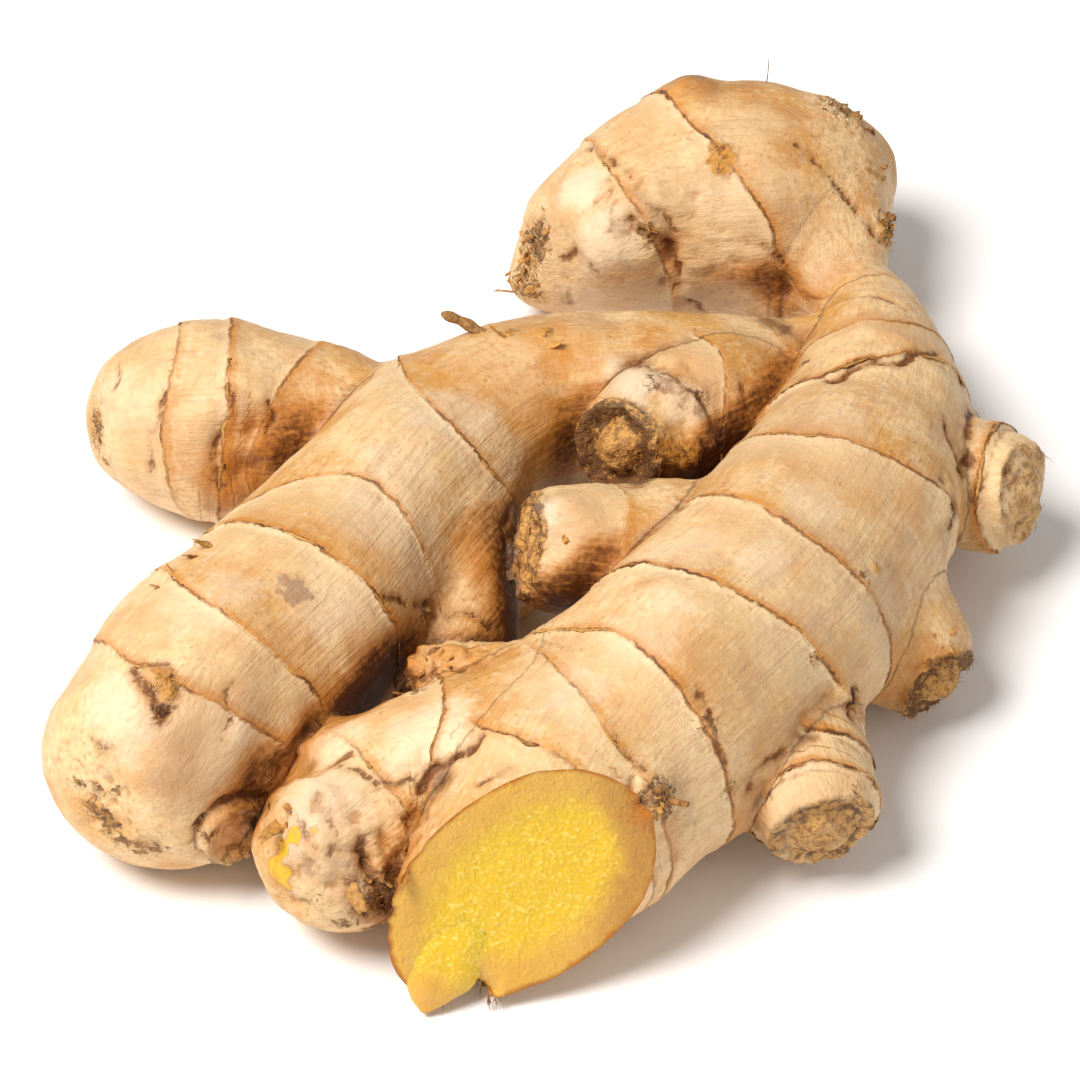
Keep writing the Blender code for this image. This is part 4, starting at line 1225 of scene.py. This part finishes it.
def corkySkin():
    # Fresh ginger skin: a thin dry cork over juicy flesh. The eye gets satin tan with fibres that run
    # along each finger, a pale band past each growth ring and brown, papery, torn places. Shade in the folds
    # and gaps and some highlights are painted into its colour.
    look = skinLook
    hue = {name: colour(value) for name, value in look.items() if isinstance(value, str)}
    material, tree = newMaterial("fresh ginger cork skin")
    inMm = placeInMm(tree)
    marks = {name: addNode(tree, "Attribute", {"attribute_name": name}, {}, "Fac")
             for name in ("ringSide", "ringShare", "youngSkin", "valley", "shelter", "hollow", "brokenEnd",
                          "endRadius", "endDark", "crackGap", "crackShare", "disc", *stains)}
    grain = addNode(tree, "Attribute", {"attribute_name": "grain"}, {}, "Vector")
    squeeze = (1, 1, look["fibreWidth"] / look["fibreLength"])
    drawn = addNode(tree, "VectorMath", times, {0: grain, 1: squeeze})
    fineSqueeze = (1, 1, look["fineWidth"] / look["fineLength"])
    fineDrawn = addNode(tree, "VectorMath", times, {0: grain, 1: fineSqueeze})

    # patterns, each with its size in millimetres
    pattern = {}
    for name, vector, size, detail in (
            ("fibres", drawn, look["fibreWidth"], 2), ("fine", fineDrawn, look["fineWidth"], 1),
            ("broad", drawn, 4 * look["fibreWidth"], 2), ("patches", inMm, look["patchSize"], 2),
            ("golden", inMm, look["goldenSize"], 3), ("ragged", inMm, 0.9, 1), ("cork", inMm, 1.3, 3),
            ("blots", inMm, 3.4, 2), ("specks", inMm, look["speckSize"], 1), ("curls", inMm, 1.1, 2)):
        pattern[name] = addNode(tree, "TexNoise", {}, {
            "Vector": vector, "Scale": 1.0 / size, "Detail": float(detail), "Roughness": 0.6,
            "Distortion": 0.8 if name == "curls" else 0.0})

    # colour layers that follow one pattern: hue, pattern, low and high end, share
    skin = addNode(tree, "Mix", paint, {0: 0.0, 6: hue["tan"], 7: hue["tan"]}, 2)
    for name, source, low, high, share in (
            ("pale", "patches", 0.38, 0.6, 1.0), ("golden", "golden", 0.5, 0.72, 0.6),
            ("white", "broad", 0.48, 0.7, 0.12),
            ("streak", "broad", 0.5, 0.75, 0.25), ("streak", "fibres", 0.48, 0.74, 0.32),
            ("cream", "fine", 0.5, 0.7, 0.15), ("golden", "ragged", 0.5, 0.68, 0.3),
            ("cream", "cork", 0.52, 0.68, 0.3), ("line", "specks", 0.66, 0.76, 0.4),
            ("grey", "blots", 0.6, 0.72, 0.3)):
        amount = addNode(tree, "MapRange", soft, {0: pattern[source], 1: low, 2: high, 4: share})
        skin = addNode(tree, "Mix", paint, {0: amount, 6: skin, 7: hue[name]}, 2)
    # stain marks, among them painted highlight from part of the white ones and painted shade from part of the
    # brown ones and from the dark brown of the gaps
    for name, mark, share in (("golden", "gold", 0.75), ("white", "white", 0.7), ("streak", "brown", 0.8),
                              ("dull", "dull", 0.9), ("golden", "disc", 0.55), ("creviceShade", "paintedShade", 0.85)):
        amount = addNode(tree, "Math", times, {0: marks[mark], 1: share})
        skin = addNode(tree, "Mix", paint, {0: amount, 6: skin, 7: hue[name]}, 2)

    # the step at a growth ring is sharper than the mesh can hold it, with cream skin past it
    wander = addNode(tree, "Math", timesPlus, {0: pattern["ragged"], 1: 0.7, 2: -0.35})
    edge = addNode(tree, "Math", plus, {0: marks["ringSide"], 1: wander})
    far = addNode(tree, "Math", positive, {0: edge})
    atRing = addNode(tree, "MapRange", soft, {0: far, 1: 1.6, 2: 0.9})
    ringHere = addNode(tree, "MapRange", soft, {0: marks["ringShare"], 1: 0.0, 2: 0.12})
    atRing = addNode(tree, "Math", times, {0: atRing, 1: ringHere})
    passed = addNode(tree, "MapRange", soft, {0: edge, 1: -0.06, 2: 0.06})
    crisp = addNode(tree, "Math", times, {0: marks["ringShare"], 1: passed})
    young = addNode(tree, "Mix", {"data_type": "FLOAT"}, {0: atRing, 2: marks["youngSkin"], 3: crisp})
    fading = addNode(tree, "MapRange", soft, {0: pattern["patches"], 1: 0.8, 2: 0.35, 4: 0.6})
    young = addNode(tree, "Math", times, {0: young, 1: fading})
    skin = addNode(tree, "Mix", paint, {0: young, 6: skin, 7: hue["cream"]}, 2)

    # a golden dry margin before the ring and a thin brown line on it
    margin = addNode(tree, "MapRange", soft, {0: edge, 1: -1.4, 2: -0.1, 4: 0.7})
    notPassed = addNode(tree, "Math", minus, {0: 1.0, 1: passed})
    margin = addNode(tree, "Math", times, {0: margin, 1: notPassed})
    margin = addNode(tree, "Math", times, {0: margin, 1: marks["ringShare"]})
    skin = addNode(tree, "Mix", paint, {0: margin, 6: skin, 7: hue["golden"]}, 2)
    thin = addNode(tree, "MapRange", soft, {0: far, 1: 1.9 * look["lineWidth"], 2: 0.5 * look["lineWidth"]})
    thin = addNode(tree, "Math", times, {0: thin, 1: marks["ringShare"]})
    broken = addNode(tree, "MapRange", soft, {0: pattern["golden"], 1: 0.4, 2: 0.54})
    drawnLine = addNode(tree, "Math", times, {0: thin, 1: broken})
    worn = addNode(tree, "MapRange", soft, {0: pattern["blots"], 1: 0.4, 2: 0.55})
    lineHue = addNode(tree, "Mix", paint, {0: worn, 6: hue["line"], 7: hue["streak"]}, 2)
    skin = addNode(tree, "Mix", paint, {0: drawnLine, 6: skin, 7: lineHue}, 2)

    # painted shade in the folds, hollows and sheltered gaps, golden at its edge and dark brown where darkest,
    # streaked by the fibres
    uneven = addNode(tree, "Math", plus, {0: pattern["fibres"], 1: pattern["ragged"]})
    uneven = addNode(tree, "Math", timesPlus, {0: uneven, 1: 0.7, 2: 0.3})
    for name, mark, low, high, share in (
            ("streak", "hollow", 0.3, 1.0, 0.5), ("streak", "valley", 0.0, 0.6, 0.5),
            ("creviceShade", "valley", 0.3, 1.2, 0.7), ("golden", "shelter", 0.15, 0.45, 0.65),
            ("streak", "shelter", 0.3, 0.62, 0.75), ("creviceShade", "shelter", 0.42, 0.78, 0.9)):
        streaked = addNode(tree, "Math", times, {0: marks[mark], 1: uneven})
        amount = addNode(tree, "MapRange", soft, {0: streaked, 1: low, 2: high, 4: share})
        skin = addNode(tree, "Mix", paint, {0: amount, 6: skin, 7: hue[name]}, 2)

    # cracks: a dark line that frays, with a brown stain on both sides
    gap = addNode(tree, "Math", timesPlus, {0: pattern["cork"], 1: 1.8, 2: -0.9})
    gap = addNode(tree, "Math", plus, {0: gap, 1: marks["crackGap"]})
    for name, low, high, share in (("streak", 3.2, 0.8, 0.45), ("line", 1.35, 0.6, 0.9)):
        amount = addNode(tree, "MapRange", soft, {0: gap, 1: low, 2: high, 4: share})
        amount = addNode(tree, "Math", times, {0: amount, 1: marks["crackShare"]})
        skin = addNode(tree, "Mix", paint, {0: amount, 6: skin, 7: hue[name]}, 2)

    # dull, scabbed, broken and torn places: mark, pattern that frays it and by how much, the level where it
    # starts and its share, under and upper hue, pattern between them with low and high end
    for mark, fray, width, start, share, under, upper, source, low, high in (
            ("brokenEnd", "blots", 1.2, 0.45, 0.85, "tan", "tornLight", "cork", 0.42, 0.66),
            ("grey", "cork", 1.6, 0.5, 0.75, "grey", "streak", "cork", 0.45, 0.75),
            ("scab", "cork", 1.8, 0.5, 0.8, "scab", "line", "cork", 0.5, 0.68),
            ("flesh", "cork", 0.8, 0.4, 0.6, "tornLight", "line", "cork", 0.4, 0.6),
            ("flesh", "cork", 0.9, 0.55, 1.0, "flesh", "scab", "cork", 0.5, 0.75),
            ("torn", "curls", 2.4, 0.66, 0.8, "tornDark", "tornLight", "ragged", 0.42, 0.6)):
        between = addNode(tree, "MapRange", soft, {0: pattern[source], 1: low, 2: high})
        tone = addNode(tree, "Mix", paint, {0: between, 6: hue[under], 7: hue[upper]}, 2)
        if mark == "brokenEnd":
            # rings inside the broken end, where the layers of the stub broke one by one
            layers = addNode(tree, "Math", timesPlus, {0: pattern["ragged"], 1: 0.35, 2: marks["endRadius"]})
            layers = addNode(tree, "Math", times, {0: layers, 1: 34.0})
            layers = addNode(tree, "Math", {"operation": "SINE"}, {0: layers})
            dark = addNode(tree, "MapRange", soft, {0: layers, 1: 0.3, 2: 0.95, 4: 0.6})
            tone = addNode(tree, "Mix", paint, {0: dark, 6: tone, 7: hue["line"]}, 2)
            dark = addNode(tree, "Math", timesPlus, {0: pattern["cork"], 1: 2.6, 2: -1.3})
            dark = addNode(tree, "Math", plus, {0: dark, 1: marks["endDark"]})
            dark = addNode(tree, "MapRange", soft, {0: dark, 1: 0.4, 2: 0.75, 4: 0.9})
            tone = addNode(tree, "Mix", paint, {0: dark, 6: tone, 7: hue["tornDark"]}, 2)
        frayed = addNode(tree, "Math", timesPlus, {0: pattern[fray], 1: width, 2: -0.5 * width})
        frayed = addNode(tree, "Math", plus, {0: frayed, 1: marks[mark]})
        amount = addNode(tree, "MapRange", soft, {0: frayed, 1: start - 0.15, 2: start + 0.25, 4: share})
        present = addNode(tree, "MapRange", soft, {0: marks[mark], 1: 0.03, 2: 0.25})
        amount = addNode(tree, "Math", times, {0: amount, 1: present})
        skin = addNode(tree, "Mix", paint, {0: amount, 6: skin, 7: tone}, 2)

    # height in millimetres
    rough = addNode(tree, "Math", most, {0: marks["torn"], 1: marks["scab"]})
    rough = addNode(tree, "Math", most, {0: rough, 1: marks["brokenEnd"]})
    coarse = addNode(tree, "Math", times, {0: rough, 1: pattern["cork"]})
    step = addNode(tree, "MapRange", soft, {0: edge, 1: 2.8, 2: 0.0})
    step = addNode(tree, "Math", times, {0: crisp, 1: step})
    height = addNode(tree, "Math", times, {0: pattern["fibres"], 1: 0.2})
    for source, share in ((pattern["fine"], 0.07), (pattern["cork"], 0.22), (thin, -0.12), (step, -0.15),
                          (coarse, 0.9)):
        height = addNode(tree, "Math", timesPlus, {0: source, 1: share, 2: height})
    cleft = addNode(tree, "MapRange", soft, {0: gap, 1: 1.6, 2: 0.2})
    cleft = addNode(tree, "Math", times, {0: cleft, 1: marks["crackShare"]})
    height = addNode(tree, "Math", timesPlus, {0: cleft, 1: -0.3, 2: height})
    relief = addNode(tree, "Bump", {}, {"Height": height, "Distance": 0.001, "Strength": 0.9})
    gloss = addNode(tree, "Math", timesPlus, {0: pattern["fibres"], 1: 0.2, 2: look["roughness"] - 0.1})
    gloss = addNode(tree, "Math", timesPlus, {0: rough, 1: 0.25, 2: gloss})
    shader = addNode(tree, "BsdfPrincipled", {}, {
        "Base Color": skin, "Roughness": gloss, "Normal": relief, "IOR": 1.45})
    addNode(tree, "OutputMaterial", {}, {"Surface": shader})
    return material


fleshLook = {
    "core": "#E2B92A",
    "grain": "#EFD569",
    "outer": "#D9A235",
    "outerPale": "#DCB05A",
    "bruised": "#B07E3E",
    "rim": "#B56C18",
    "coreDepth": 4.6,  # the grainy core starts this far in from the skin
    "coreBlur": 2.2,
    "grainSize": 0.55,
    "gritSize": 0.5,
    "cloudSize": 3.0,
    "roughness": 0.34,
}


def wetFlesh():
    # Ginger flesh cut with a knife: moist and slightly translucent. The eye gets a warm yellow grainy
    # core inside a smoother orange-yellow ring with an orange rim.
    look = fleshLook
    hue = {name: colour(value) for name, value in look.items() if isinstance(value, str)}
    material, tree = newMaterial("knife cut ginger flesh")
    inMm = placeInMm(tree)
    depth = addNode(tree, "Attribute", {"attribute_name": "depth"}, {}, "Fac")
    cells = addNode(tree, "TexVoronoi", {}, {"Vector": inMm, "Scale": 1 / look["grainSize"]})
    cloud = addNode(tree, "TexNoise", {}, {"Vector": inMm, "Scale": 1 / look["cloudSize"], "Detail": 4.0})
    grit = addNode(tree, "TexNoise", {}, {"Vector": inMm, "Scale": 1 / look["gritSize"], "Detail": 3.0})
    stained = addNode(tree, "Attribute", {"attribute_name": "stained"}, {}, "Fac")
    wander = addNode(tree, "Math", timesPlus, {0: cloud, 1: 4.0, 2: -2.0})
    inside = addNode(tree, "Math", plus, {0: depth, 1: wander})
    start, end = look["coreDepth"] - look["coreBlur"], look["coreDepth"] + look["coreBlur"]
    core = addNode(tree, "MapRange", soft, {0: inside, 1: start, 2: end})
    speckle = addNode(tree, "MapRange", {}, {0: grit, 1: 0.52, 2: 0.68})
    speckle = addNode(tree, "Math", times, {0: speckle, 1: core})
    margin = addNode(tree, "Math", timesPlus, {0: cloud, 1: 1.4, 2: -0.7})
    margin = addNode(tree, "Math", plus, {0: margin, 1: depth})
    nearSkin = addNode(tree, "MapRange", {}, {0: margin, 1: 0.7, 2: 0.1})
    browned = addNode(tree, "Math", timesPlus, {0: grit, 1: 1.2, 2: -0.6})
    browned = addNode(tree, "Math", plus, {0: browned, 1: stained})
    browned = addNode(tree, "MapRange", soft, {0: browned, 1: 0.35, 2: 0.9, 4: 0.85})
    flesh = addNode(tree, "Mix", paint, {0: cloud, 6: hue["outer"], 7: hue["outerPale"]}, 2)
    side = addNode(tree, "SeparateXYZ", {}, {0: inMm}, "X")
    bruised = addNode(tree, "MapRange", soft, {0: side, 1: 0.0, 2: 9.0, 4: 0.8})
    for amount, name in ((bruised, "bruised"), (core, "core"), (speckle, "grain"), (nearSkin, "rim"),
                         (browned, "rim")):
        flesh = addNode(tree, "Mix", paint, {0: amount, 6: flesh, 7: hue[name]}, 2)
    height = addNode(tree, "Math", timesPlus, {0: cells, 1: 0.35, 2: grit})
    relief = addNode(tree, "Bump", {}, {"Height": height, "Distance": 0.00035, "Strength": 0.8})
    shader = addNode(tree, "BsdfPrincipled", {}, {
        "Base Color": flesh, "Roughness": look["roughness"], "Normal": relief, "IOR": 1.4,
        "Subsurface Weight": 0.35, "Subsurface Radius": (1.0, 0.6, 0.15), "Subsurface Scale": 0.003})
    addNode(tree, "OutputMaterial", {}, {"Surface": shader})
    return material


def dryScrap(name, darkHex, lightHex, fibreSize, roughness):
    # Dry plant scraps, torn by hand: papery scale leaf or woody root fibre, matt and streaked.
    material, tree = newMaterial(name)
    inMm = placeInMm(tree)
    shade = addNode(tree, "Attribute", {"attribute_name": "shade"}, {}, "Fac")
    fibres = addNode(tree, "TexNoise", {}, {"Vector": inMm, "Scale": 1 / fibreSize, "Detail": 3.0})
    level = addNode(tree, "Math", timesPlus, {0: fibres, 1: 1.6, 2: -0.8})
    level = addNode(tree, "Math", plus, {0: level, 1: shade})
    tone = addNode(tree, "Mix", paint, {0: level, 6: colour(darkHex), 7: colour(lightHex)}, 2)
    relief = addNode(tree, "Bump", {}, {"Height": fibres, "Distance": 0.0003, "Strength": 0.7})
    shader = addNode(tree, "BsdfPrincipled", {}, {
        "Base Color": tone, "Roughness": roughness, "Normal": relief})
    addNode(tree, "OutputMaterial", {}, {"Surface": shader})
    return material


def finishPiece(name, mesh, material):
    made = newObject(name, mesh)
    made.data.materials.clear()
    made.data.materials.append(material)
    made.data.shade_smooth()
    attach(made, "root")
    return made


skinMaterial = corkySkin()
fleshMaterial = wetFlesh()
scaleMaterial = dryScrap("torn papery scale leaf", "#7A4818", "#D39C4C", 0.7, 0.65)
woodMaterial = dryScrap("dry root fibre", "#5B3416", "#C2924F", 0.5, 0.7)

skinMesh, skinPoints, skinEdges, skinNormals, pastOf = skinBody()
borderLoop = openLoop(skinMesh)
fleshMesh = cutFlesh(skinPoints, borderLoop)
setPlaces(skinMesh, toFrame(skinPoints))
fleshPoints, _ = meshArrays(fleshMesh)
setPlaces(fleshMesh, toFrame(fleshPoints))
skin = finishPiece("rhizome_skin", skinMesh, skinMaterial)
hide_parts("rhizome")
flesh = finishPiece("cut_flesh", fleshMesh, fleshMaterial)
print("skin and cut made,", len(skinMesh.polygons), "and", len(fleshMesh.polygons), "faces")

skinTree = skinTreeOf(skinPoints, skinMesh)


def onSkin(place):
    # the skin's point and outward direction nearest to a place
    spot, normal, _, _ = skinTree.find_nearest(Vector(place))
    return np.array(spot), np.array(normal)


def growthScales():
    rng = np.random.default_rng(21)
    heap = Heap()
    hairs = Heap()
    spotsOnRings = []
    for ring, past in zip(rings, pastOf):
        for run, along in ringPaths(past, skinPoints, skinNormals, skinEdges, ring):
            scaleStrip(run, along, ring, heap, rng)
            spotsOnRings += [(spot, normal, along, ring[5]) for spot, normal in run]
    for index in rng.choice(len(spotsOnRings), fibreLook["onRings"]):
        spot, normal, along, scale = spotsOnRings[index]
        if spot[2] > 1.0:
            hairs.add(fibre(spot, normal, along, rng), rng.uniform(0.2, 1.0))
    for _ in range(fibreLook["onScars"]):
        x, y, z, reach, _, _ = tornPlaces[rng.integers(len(tornPlaces))]
        spot, normal = onSkin(np.array([x, y, z]) + rng.normal(scale=0.5 * reach, size=3))
        if spot[2] > 1.0:
            shape = fibre(spot, normal, rng.normal(size=3), rng, fibreLook["scarLength"])
            hairs.add(shape, rng.uniform(0.0, 0.8))
    for name, count in fibreLook["onEnds"].items():
        line, arc = lines[name]
        tip, along, sideways = frameAt(name, arc[-1])
        upward = np.cross(along, sideways)
        for _ in range(count):
            turn = rng.uniform(0, 2 * math.pi)
            out = math.cos(turn) * sideways + math.sin(turn) * upward
            around = np.cross(along, out)
            spot, normal = onSkin(tip + flatEnds[name] * along + rng.normal(0.82, 0.1) * line[-1, 3] * out)
            heading = around * rng.choice((-1, 1)) - 0.6 * out
            hairs.add(fibre(spot, normal, heading, rng, fibreLook["endLength"]), rng.uniform(0, 0.6))
    for _ in range(fibreLook["inBite"]):
        spot, normal = onSkin(np.array(knifeCut["bite"]) + rng.normal(scale=1.6, size=3) + (1.0, 1.5, 2.0))
        shape = fibre(spot, normal, np.array([0.2, -0.6, -0.5]), rng, fibreLook["biteLength"])
        hairs.add(shape, rng.uniform(0, 0.8))
    return heap.mesh("scaleLeaves"), hairs.mesh("fibres")


scrapLook = {
    # torn flakes of skin: place, direction, length, width, curl, shade
    "flakes": [
        ((-4.8, 26.4, 27.2), (-0.6, -0.5, 0.4), 2.6, 1.8, 1.6, 0.9),
        ((0.7, 24.8, 26.8), (0.8, -0.3, 0.2), 2.4, 1.5, 0.9, 1.0),
        ((-41.9, -22.3, 32), (-0.9, -0.2, 0.3), 2.6, 2.6, 0.8, 0.5),
        ((-44.0, -24.5, 32), (-0.6, -0.6, 0.3), 2.0, 2.0, 0.6, 0.4),
        ((-46.8, -28.4, 32.4), (-0.5, 0.2, 0.8), 1.4, 1.4, 0.4, 0.8),
        ((-48.5, -29.5, 31.5), (-0.8, -0.1, 0.5), 1.3, 1.2, 0.3, 0.7),
        ((-32.1, -60.5, 20.0), (-0.5, -0.8, 0.2), 3.5, 3.0, 0.8, 0.6),
        ((-24.0, -67.0, 16.5), (0.3, -0.9, -0.2), 4.0, 2.6, 0.9, 0.5),
        ((-14.0, -68.5, 18.5), (0.1, -0.9, -0.4), 3.0, 2.0, 0.7, 0.5),
        ((-17.0, -38.5, 23.5), (-0.7, -0.6, 0.2), 2.4, 2.0, 0.7, 0.4),
        ((-3.5, 61.0, 7.0), (-0.95, -0.2, -0.1), 2.8, 3.4, 0.4, 0.5),
        ((16.4, -62.8, 26.0), (0.7, -0.5, 0.3), 2.2, 1.8, 0.8, 0.2),
    ],
    # places where the dry skin has frayed into small scraps: middle, reach, number of scraps
    "frayed": [((-1.5, 62.0, 15.0), 4.0, 16), ((-2.5, 61.0, 9.0), 3.0, 10), ((52.5, 60.0, 20.0), 4.0, 16),
               ((50.5, 68.0, 25.0), 3.5, 8), ((45.0, 75.0, 29.0), 3.5, 12), ((-20.0, -67.0, 13.0), 3.5, 18),
               ((-29.0, -60.0, 18.0), 4.5, 8), ((-14.0, -35.0, 22.0), 3.0, 8), ((50.5, -22.0, 13.0), 3.5, 6),
               ((1.0, -13.5, 26.0), 4.5, 8), ((15.0, -62.5, 26.0), 2.0, 6)],
    "frayedLength": (0.5, 1.3),
    "frayedWidth": (0.6, 1.8),
    # rootlet stumps: foot, tip, radius at the foot and at the tip
    "rootlets": [
        ((-8.3, 28.6, 25.8), (-13.6, 30.2, 28.0), 1.0, 0.75),
        ((33.0, 79.0, 30.5), (33.6, 81.5, 34.5), 0.12, 0.05),
        ((-15.1, -21.1, 19.4), (-16.8, -22.8, 21.0), 0.5, 0.3),
    ],
}


def looseScraps():
    rng = np.random.default_rng(5)
    flakes = Heap()
    stumps = Heap()
    for place, heading, length, width, curl, shade in scrapLook["flakes"]:
        spot, normal = onSkin(place)
        heading = np.array(heading, float)
        heading -= (heading @ normal) * normal * 0.6
        heading /= np.linalg.norm(heading)
        flakes.add(flake(spot, normal, heading, length, width, curl, rng), shade)
    for place, reach, count in scrapLook["frayed"]:
        for _ in range(count):
            spot, normal = onSkin(np.array(place) + rng.normal(scale=0.5 * reach, size=3))
            heading = rng.normal(size=3)
            heading -= (heading @ normal) * normal
            heading = heading / np.linalg.norm(heading) + rng.uniform(0.0, 0.35) * normal
            length, width = (rng.uniform(*scrapLook[size]) for size in ("frayedLength", "frayedWidth"))
            scrap = flake(spot, normal, heading / np.linalg.norm(heading), length, width, 0.3 * length, rng)
            flakes.add(scrap, rng.uniform(0.2, 1.0))
    for foot, tip, thick, thin in scrapLook["rootlets"]:
        foot, tip = np.array(foot, float), np.array(tip, float)
        side = np.cross(tip - foot, (0.2, 0.3, 0.9)) * 0.12
        path = [foot + (tip - foot) * t + side * math.sin(3.5 * t) for t in np.linspace(-0.25, 1, 12)]
        radii = [thick + (thin - thick) * t + 0.12 * thick * math.sin(17 * t) for t in np.linspace(0, 1, 12)]
        radii[-1] *= 0.6
        stumps.add(tubeMesh(path, radii, 12, 0.85), 0.45)
    return flakes.mesh("flakes"), stumps.mesh("rootlets")


def tornTongue():
    # a strip of flesh that tore off the low corner of the cut instead of being sliced
    rows = [(-8.0, -69.6, 11.0, 2.6, 0.8), (-9.5, -70.7, 9.3, 4.0, 1.3), (-11.2, -71.9, 7.4, 4.9, 1.6),
            (-12.6, -73.1, 5.4, 4.7, 1.6), (-13.6, -74.0, 3.7, 3.5, 1.4), (-14.2, -74.6, 2.2, 2.0, 1.0),
            (-14.6, -74.9, 1.0, 0.5, 0.4)]
    path = fingerLine([row[:4] for row in rows], 6)[0]
    thick = fingerLine([(*row[:3], row[4]) for row in rows], 6)[0][:, 3]
    facing = knifeFacing
    sides = 40
    verts = []
    for i in range(len(path)):
        along = path[min(i + 1, len(path) - 1), :3] - path[max(i - 1, 0), :3]
        along /= np.linalg.norm(along)
        across = np.cross(facing, along)
        across /= np.linalg.norm(across)
        for k in range(sides):
            angle = 2 * math.pi * k / sides
            wide, tall = max(path[i, 3], 0.2), max(thick[i], 0.15)
            out = wide * math.cos(angle) * across + tall * math.sin(angle) * facing
            point = path[i, :3] + out + (0.5 - 0.75 * thick[i]) * facing
            point = point + 0.35 * noise.noise(Vector(point) / 2.2) * out / max(np.linalg.norm(out), 0.3)
            verts.append(point)
    places = np.array([np.maximum(vert, (-99, -99, 0.02)) for vert in verts])
    mesh = bpy.data.meshes.new("tornTongue")
    mesh.from_pydata([tuple(point) for point in toFrame(places)], [], tubeFaces(len(path), sides))
    tip = np.array(rows[-1][:3])
    giveAttribute(mesh, "depth", 0.2 + 0.75 * np.linalg.norm(places - tip, axis=1))
    mesh.update()
    return mesh


scaleMesh, fibreMesh = growthScales()
flakeMesh, rootletMesh = looseScraps()
finishPiece("growth_scales", scaleMesh, scaleMaterial)
finishPiece("torn_fibres", fibreMesh, woodMaterial)
finishPiece("skin_flakes", flakeMesh, scaleMaterial)
finishPiece("rootlets", rootletMesh, woodMaterial)
finishPiece("torn_tongue", tornTongue(), fleshMaterial)
print("scales, fibres, flakes and rootlets made")

studio = {
    "floorSize": 3.0,
    "elevation": photoView["elevation"],
    "distance": 0.592,
    "lens": photoView["lens"],
    "target": (-0.0029, -0.0069, 0.0128),
    "skyStrength": 0.36,
    "keyPlace": (-0.45, -0.25, 0.85),
    "keySize": 0.5,
    "keyPower": 12.2,
    "fillPlace": (0.6, -0.5, 0.35),
    "fillSize": 0.6,
    "fillPower": 0.7,
    "lightHue": "#FFFBF6",
}


def matteFloor():
    material, tree = newMaterial("matt white paper sweep")
    place = addNode(tree, "TexCoord", {}, {}, "Object")
    cloud = addNode(tree, "TexNoise", {}, {"Vector": place, "Scale": 6.0, "Detail": 2.0})
    tone = addNode(tree, "Mix", paint, {0: cloud, 6: colour("#FAFAFA"), 7: colour("#FDFDFD")}, 2)
    shader = addNode(tree, "BsdfPrincipled", {}, {"Base Color": tone, "Roughness": 0.9})
    addNode(tree, "OutputMaterial", {}, {"Surface": shader})
    half = studio["floorSize"] / 2
    mesh = bpy.data.meshes.new("floor")
    corners = [(-half, -half, 0), (half, -half, 0), (half, half, 0), (-half, half, 0)]
    mesh.from_pydata(corners, [], [(0, 1, 2, 3)])
    mesh.materials.append(material)
    floor = newObject("floor", mesh)


def softLight(name, place, size, power, tint):
    data = bpy.data.lights.new(name, "AREA")
    data.shape = "DISK"
    data.size = size
    data.energy = power
    data.color = colour(tint)[:3]
    lamp = newObject(name, data)
    lamp.location = place
    lamp.rotation_euler = (-Vector(place)).to_track_quat("-Z", "Y").to_euler()


def setStage():
    matteFloor()
    world = bpy.data.worlds.new("studio")
    world.use_nodes = True
    sky = world.node_tree.nodes["Background"]
    sky.inputs["Color"].default_value = colour("#FEFEFF")
    sky.inputs["Strength"].default_value = studio["skyStrength"]
    bpy.context.scene.world = world
    softLight("key", studio["keyPlace"], studio["keySize"], studio["keyPower"], studio["lightHue"])
    softLight("fill", studio["fillPlace"], studio["fillSize"], studio["fillPower"], studio["lightHue"])
    bpy.context.scene.view_settings.view_transform = "Standard"
    data = bpy.data.cameras.new("camera")
    data.lens = studio["lens"]
    data.sensor_width = photoView["sensor"]
    camera = newObject("camera", data)
    tilt = math.radians(studio["elevation"])
    target = Vector(studio["target"])
    camera.location = target + studio["distance"] * Vector((0, -math.cos(tilt), math.sin(tilt)))
    camera.rotation_euler = (target - camera.location).to_track_quat("-Z", "Y").to_euler()
    bpy.context.scene.camera = camera


setStage()
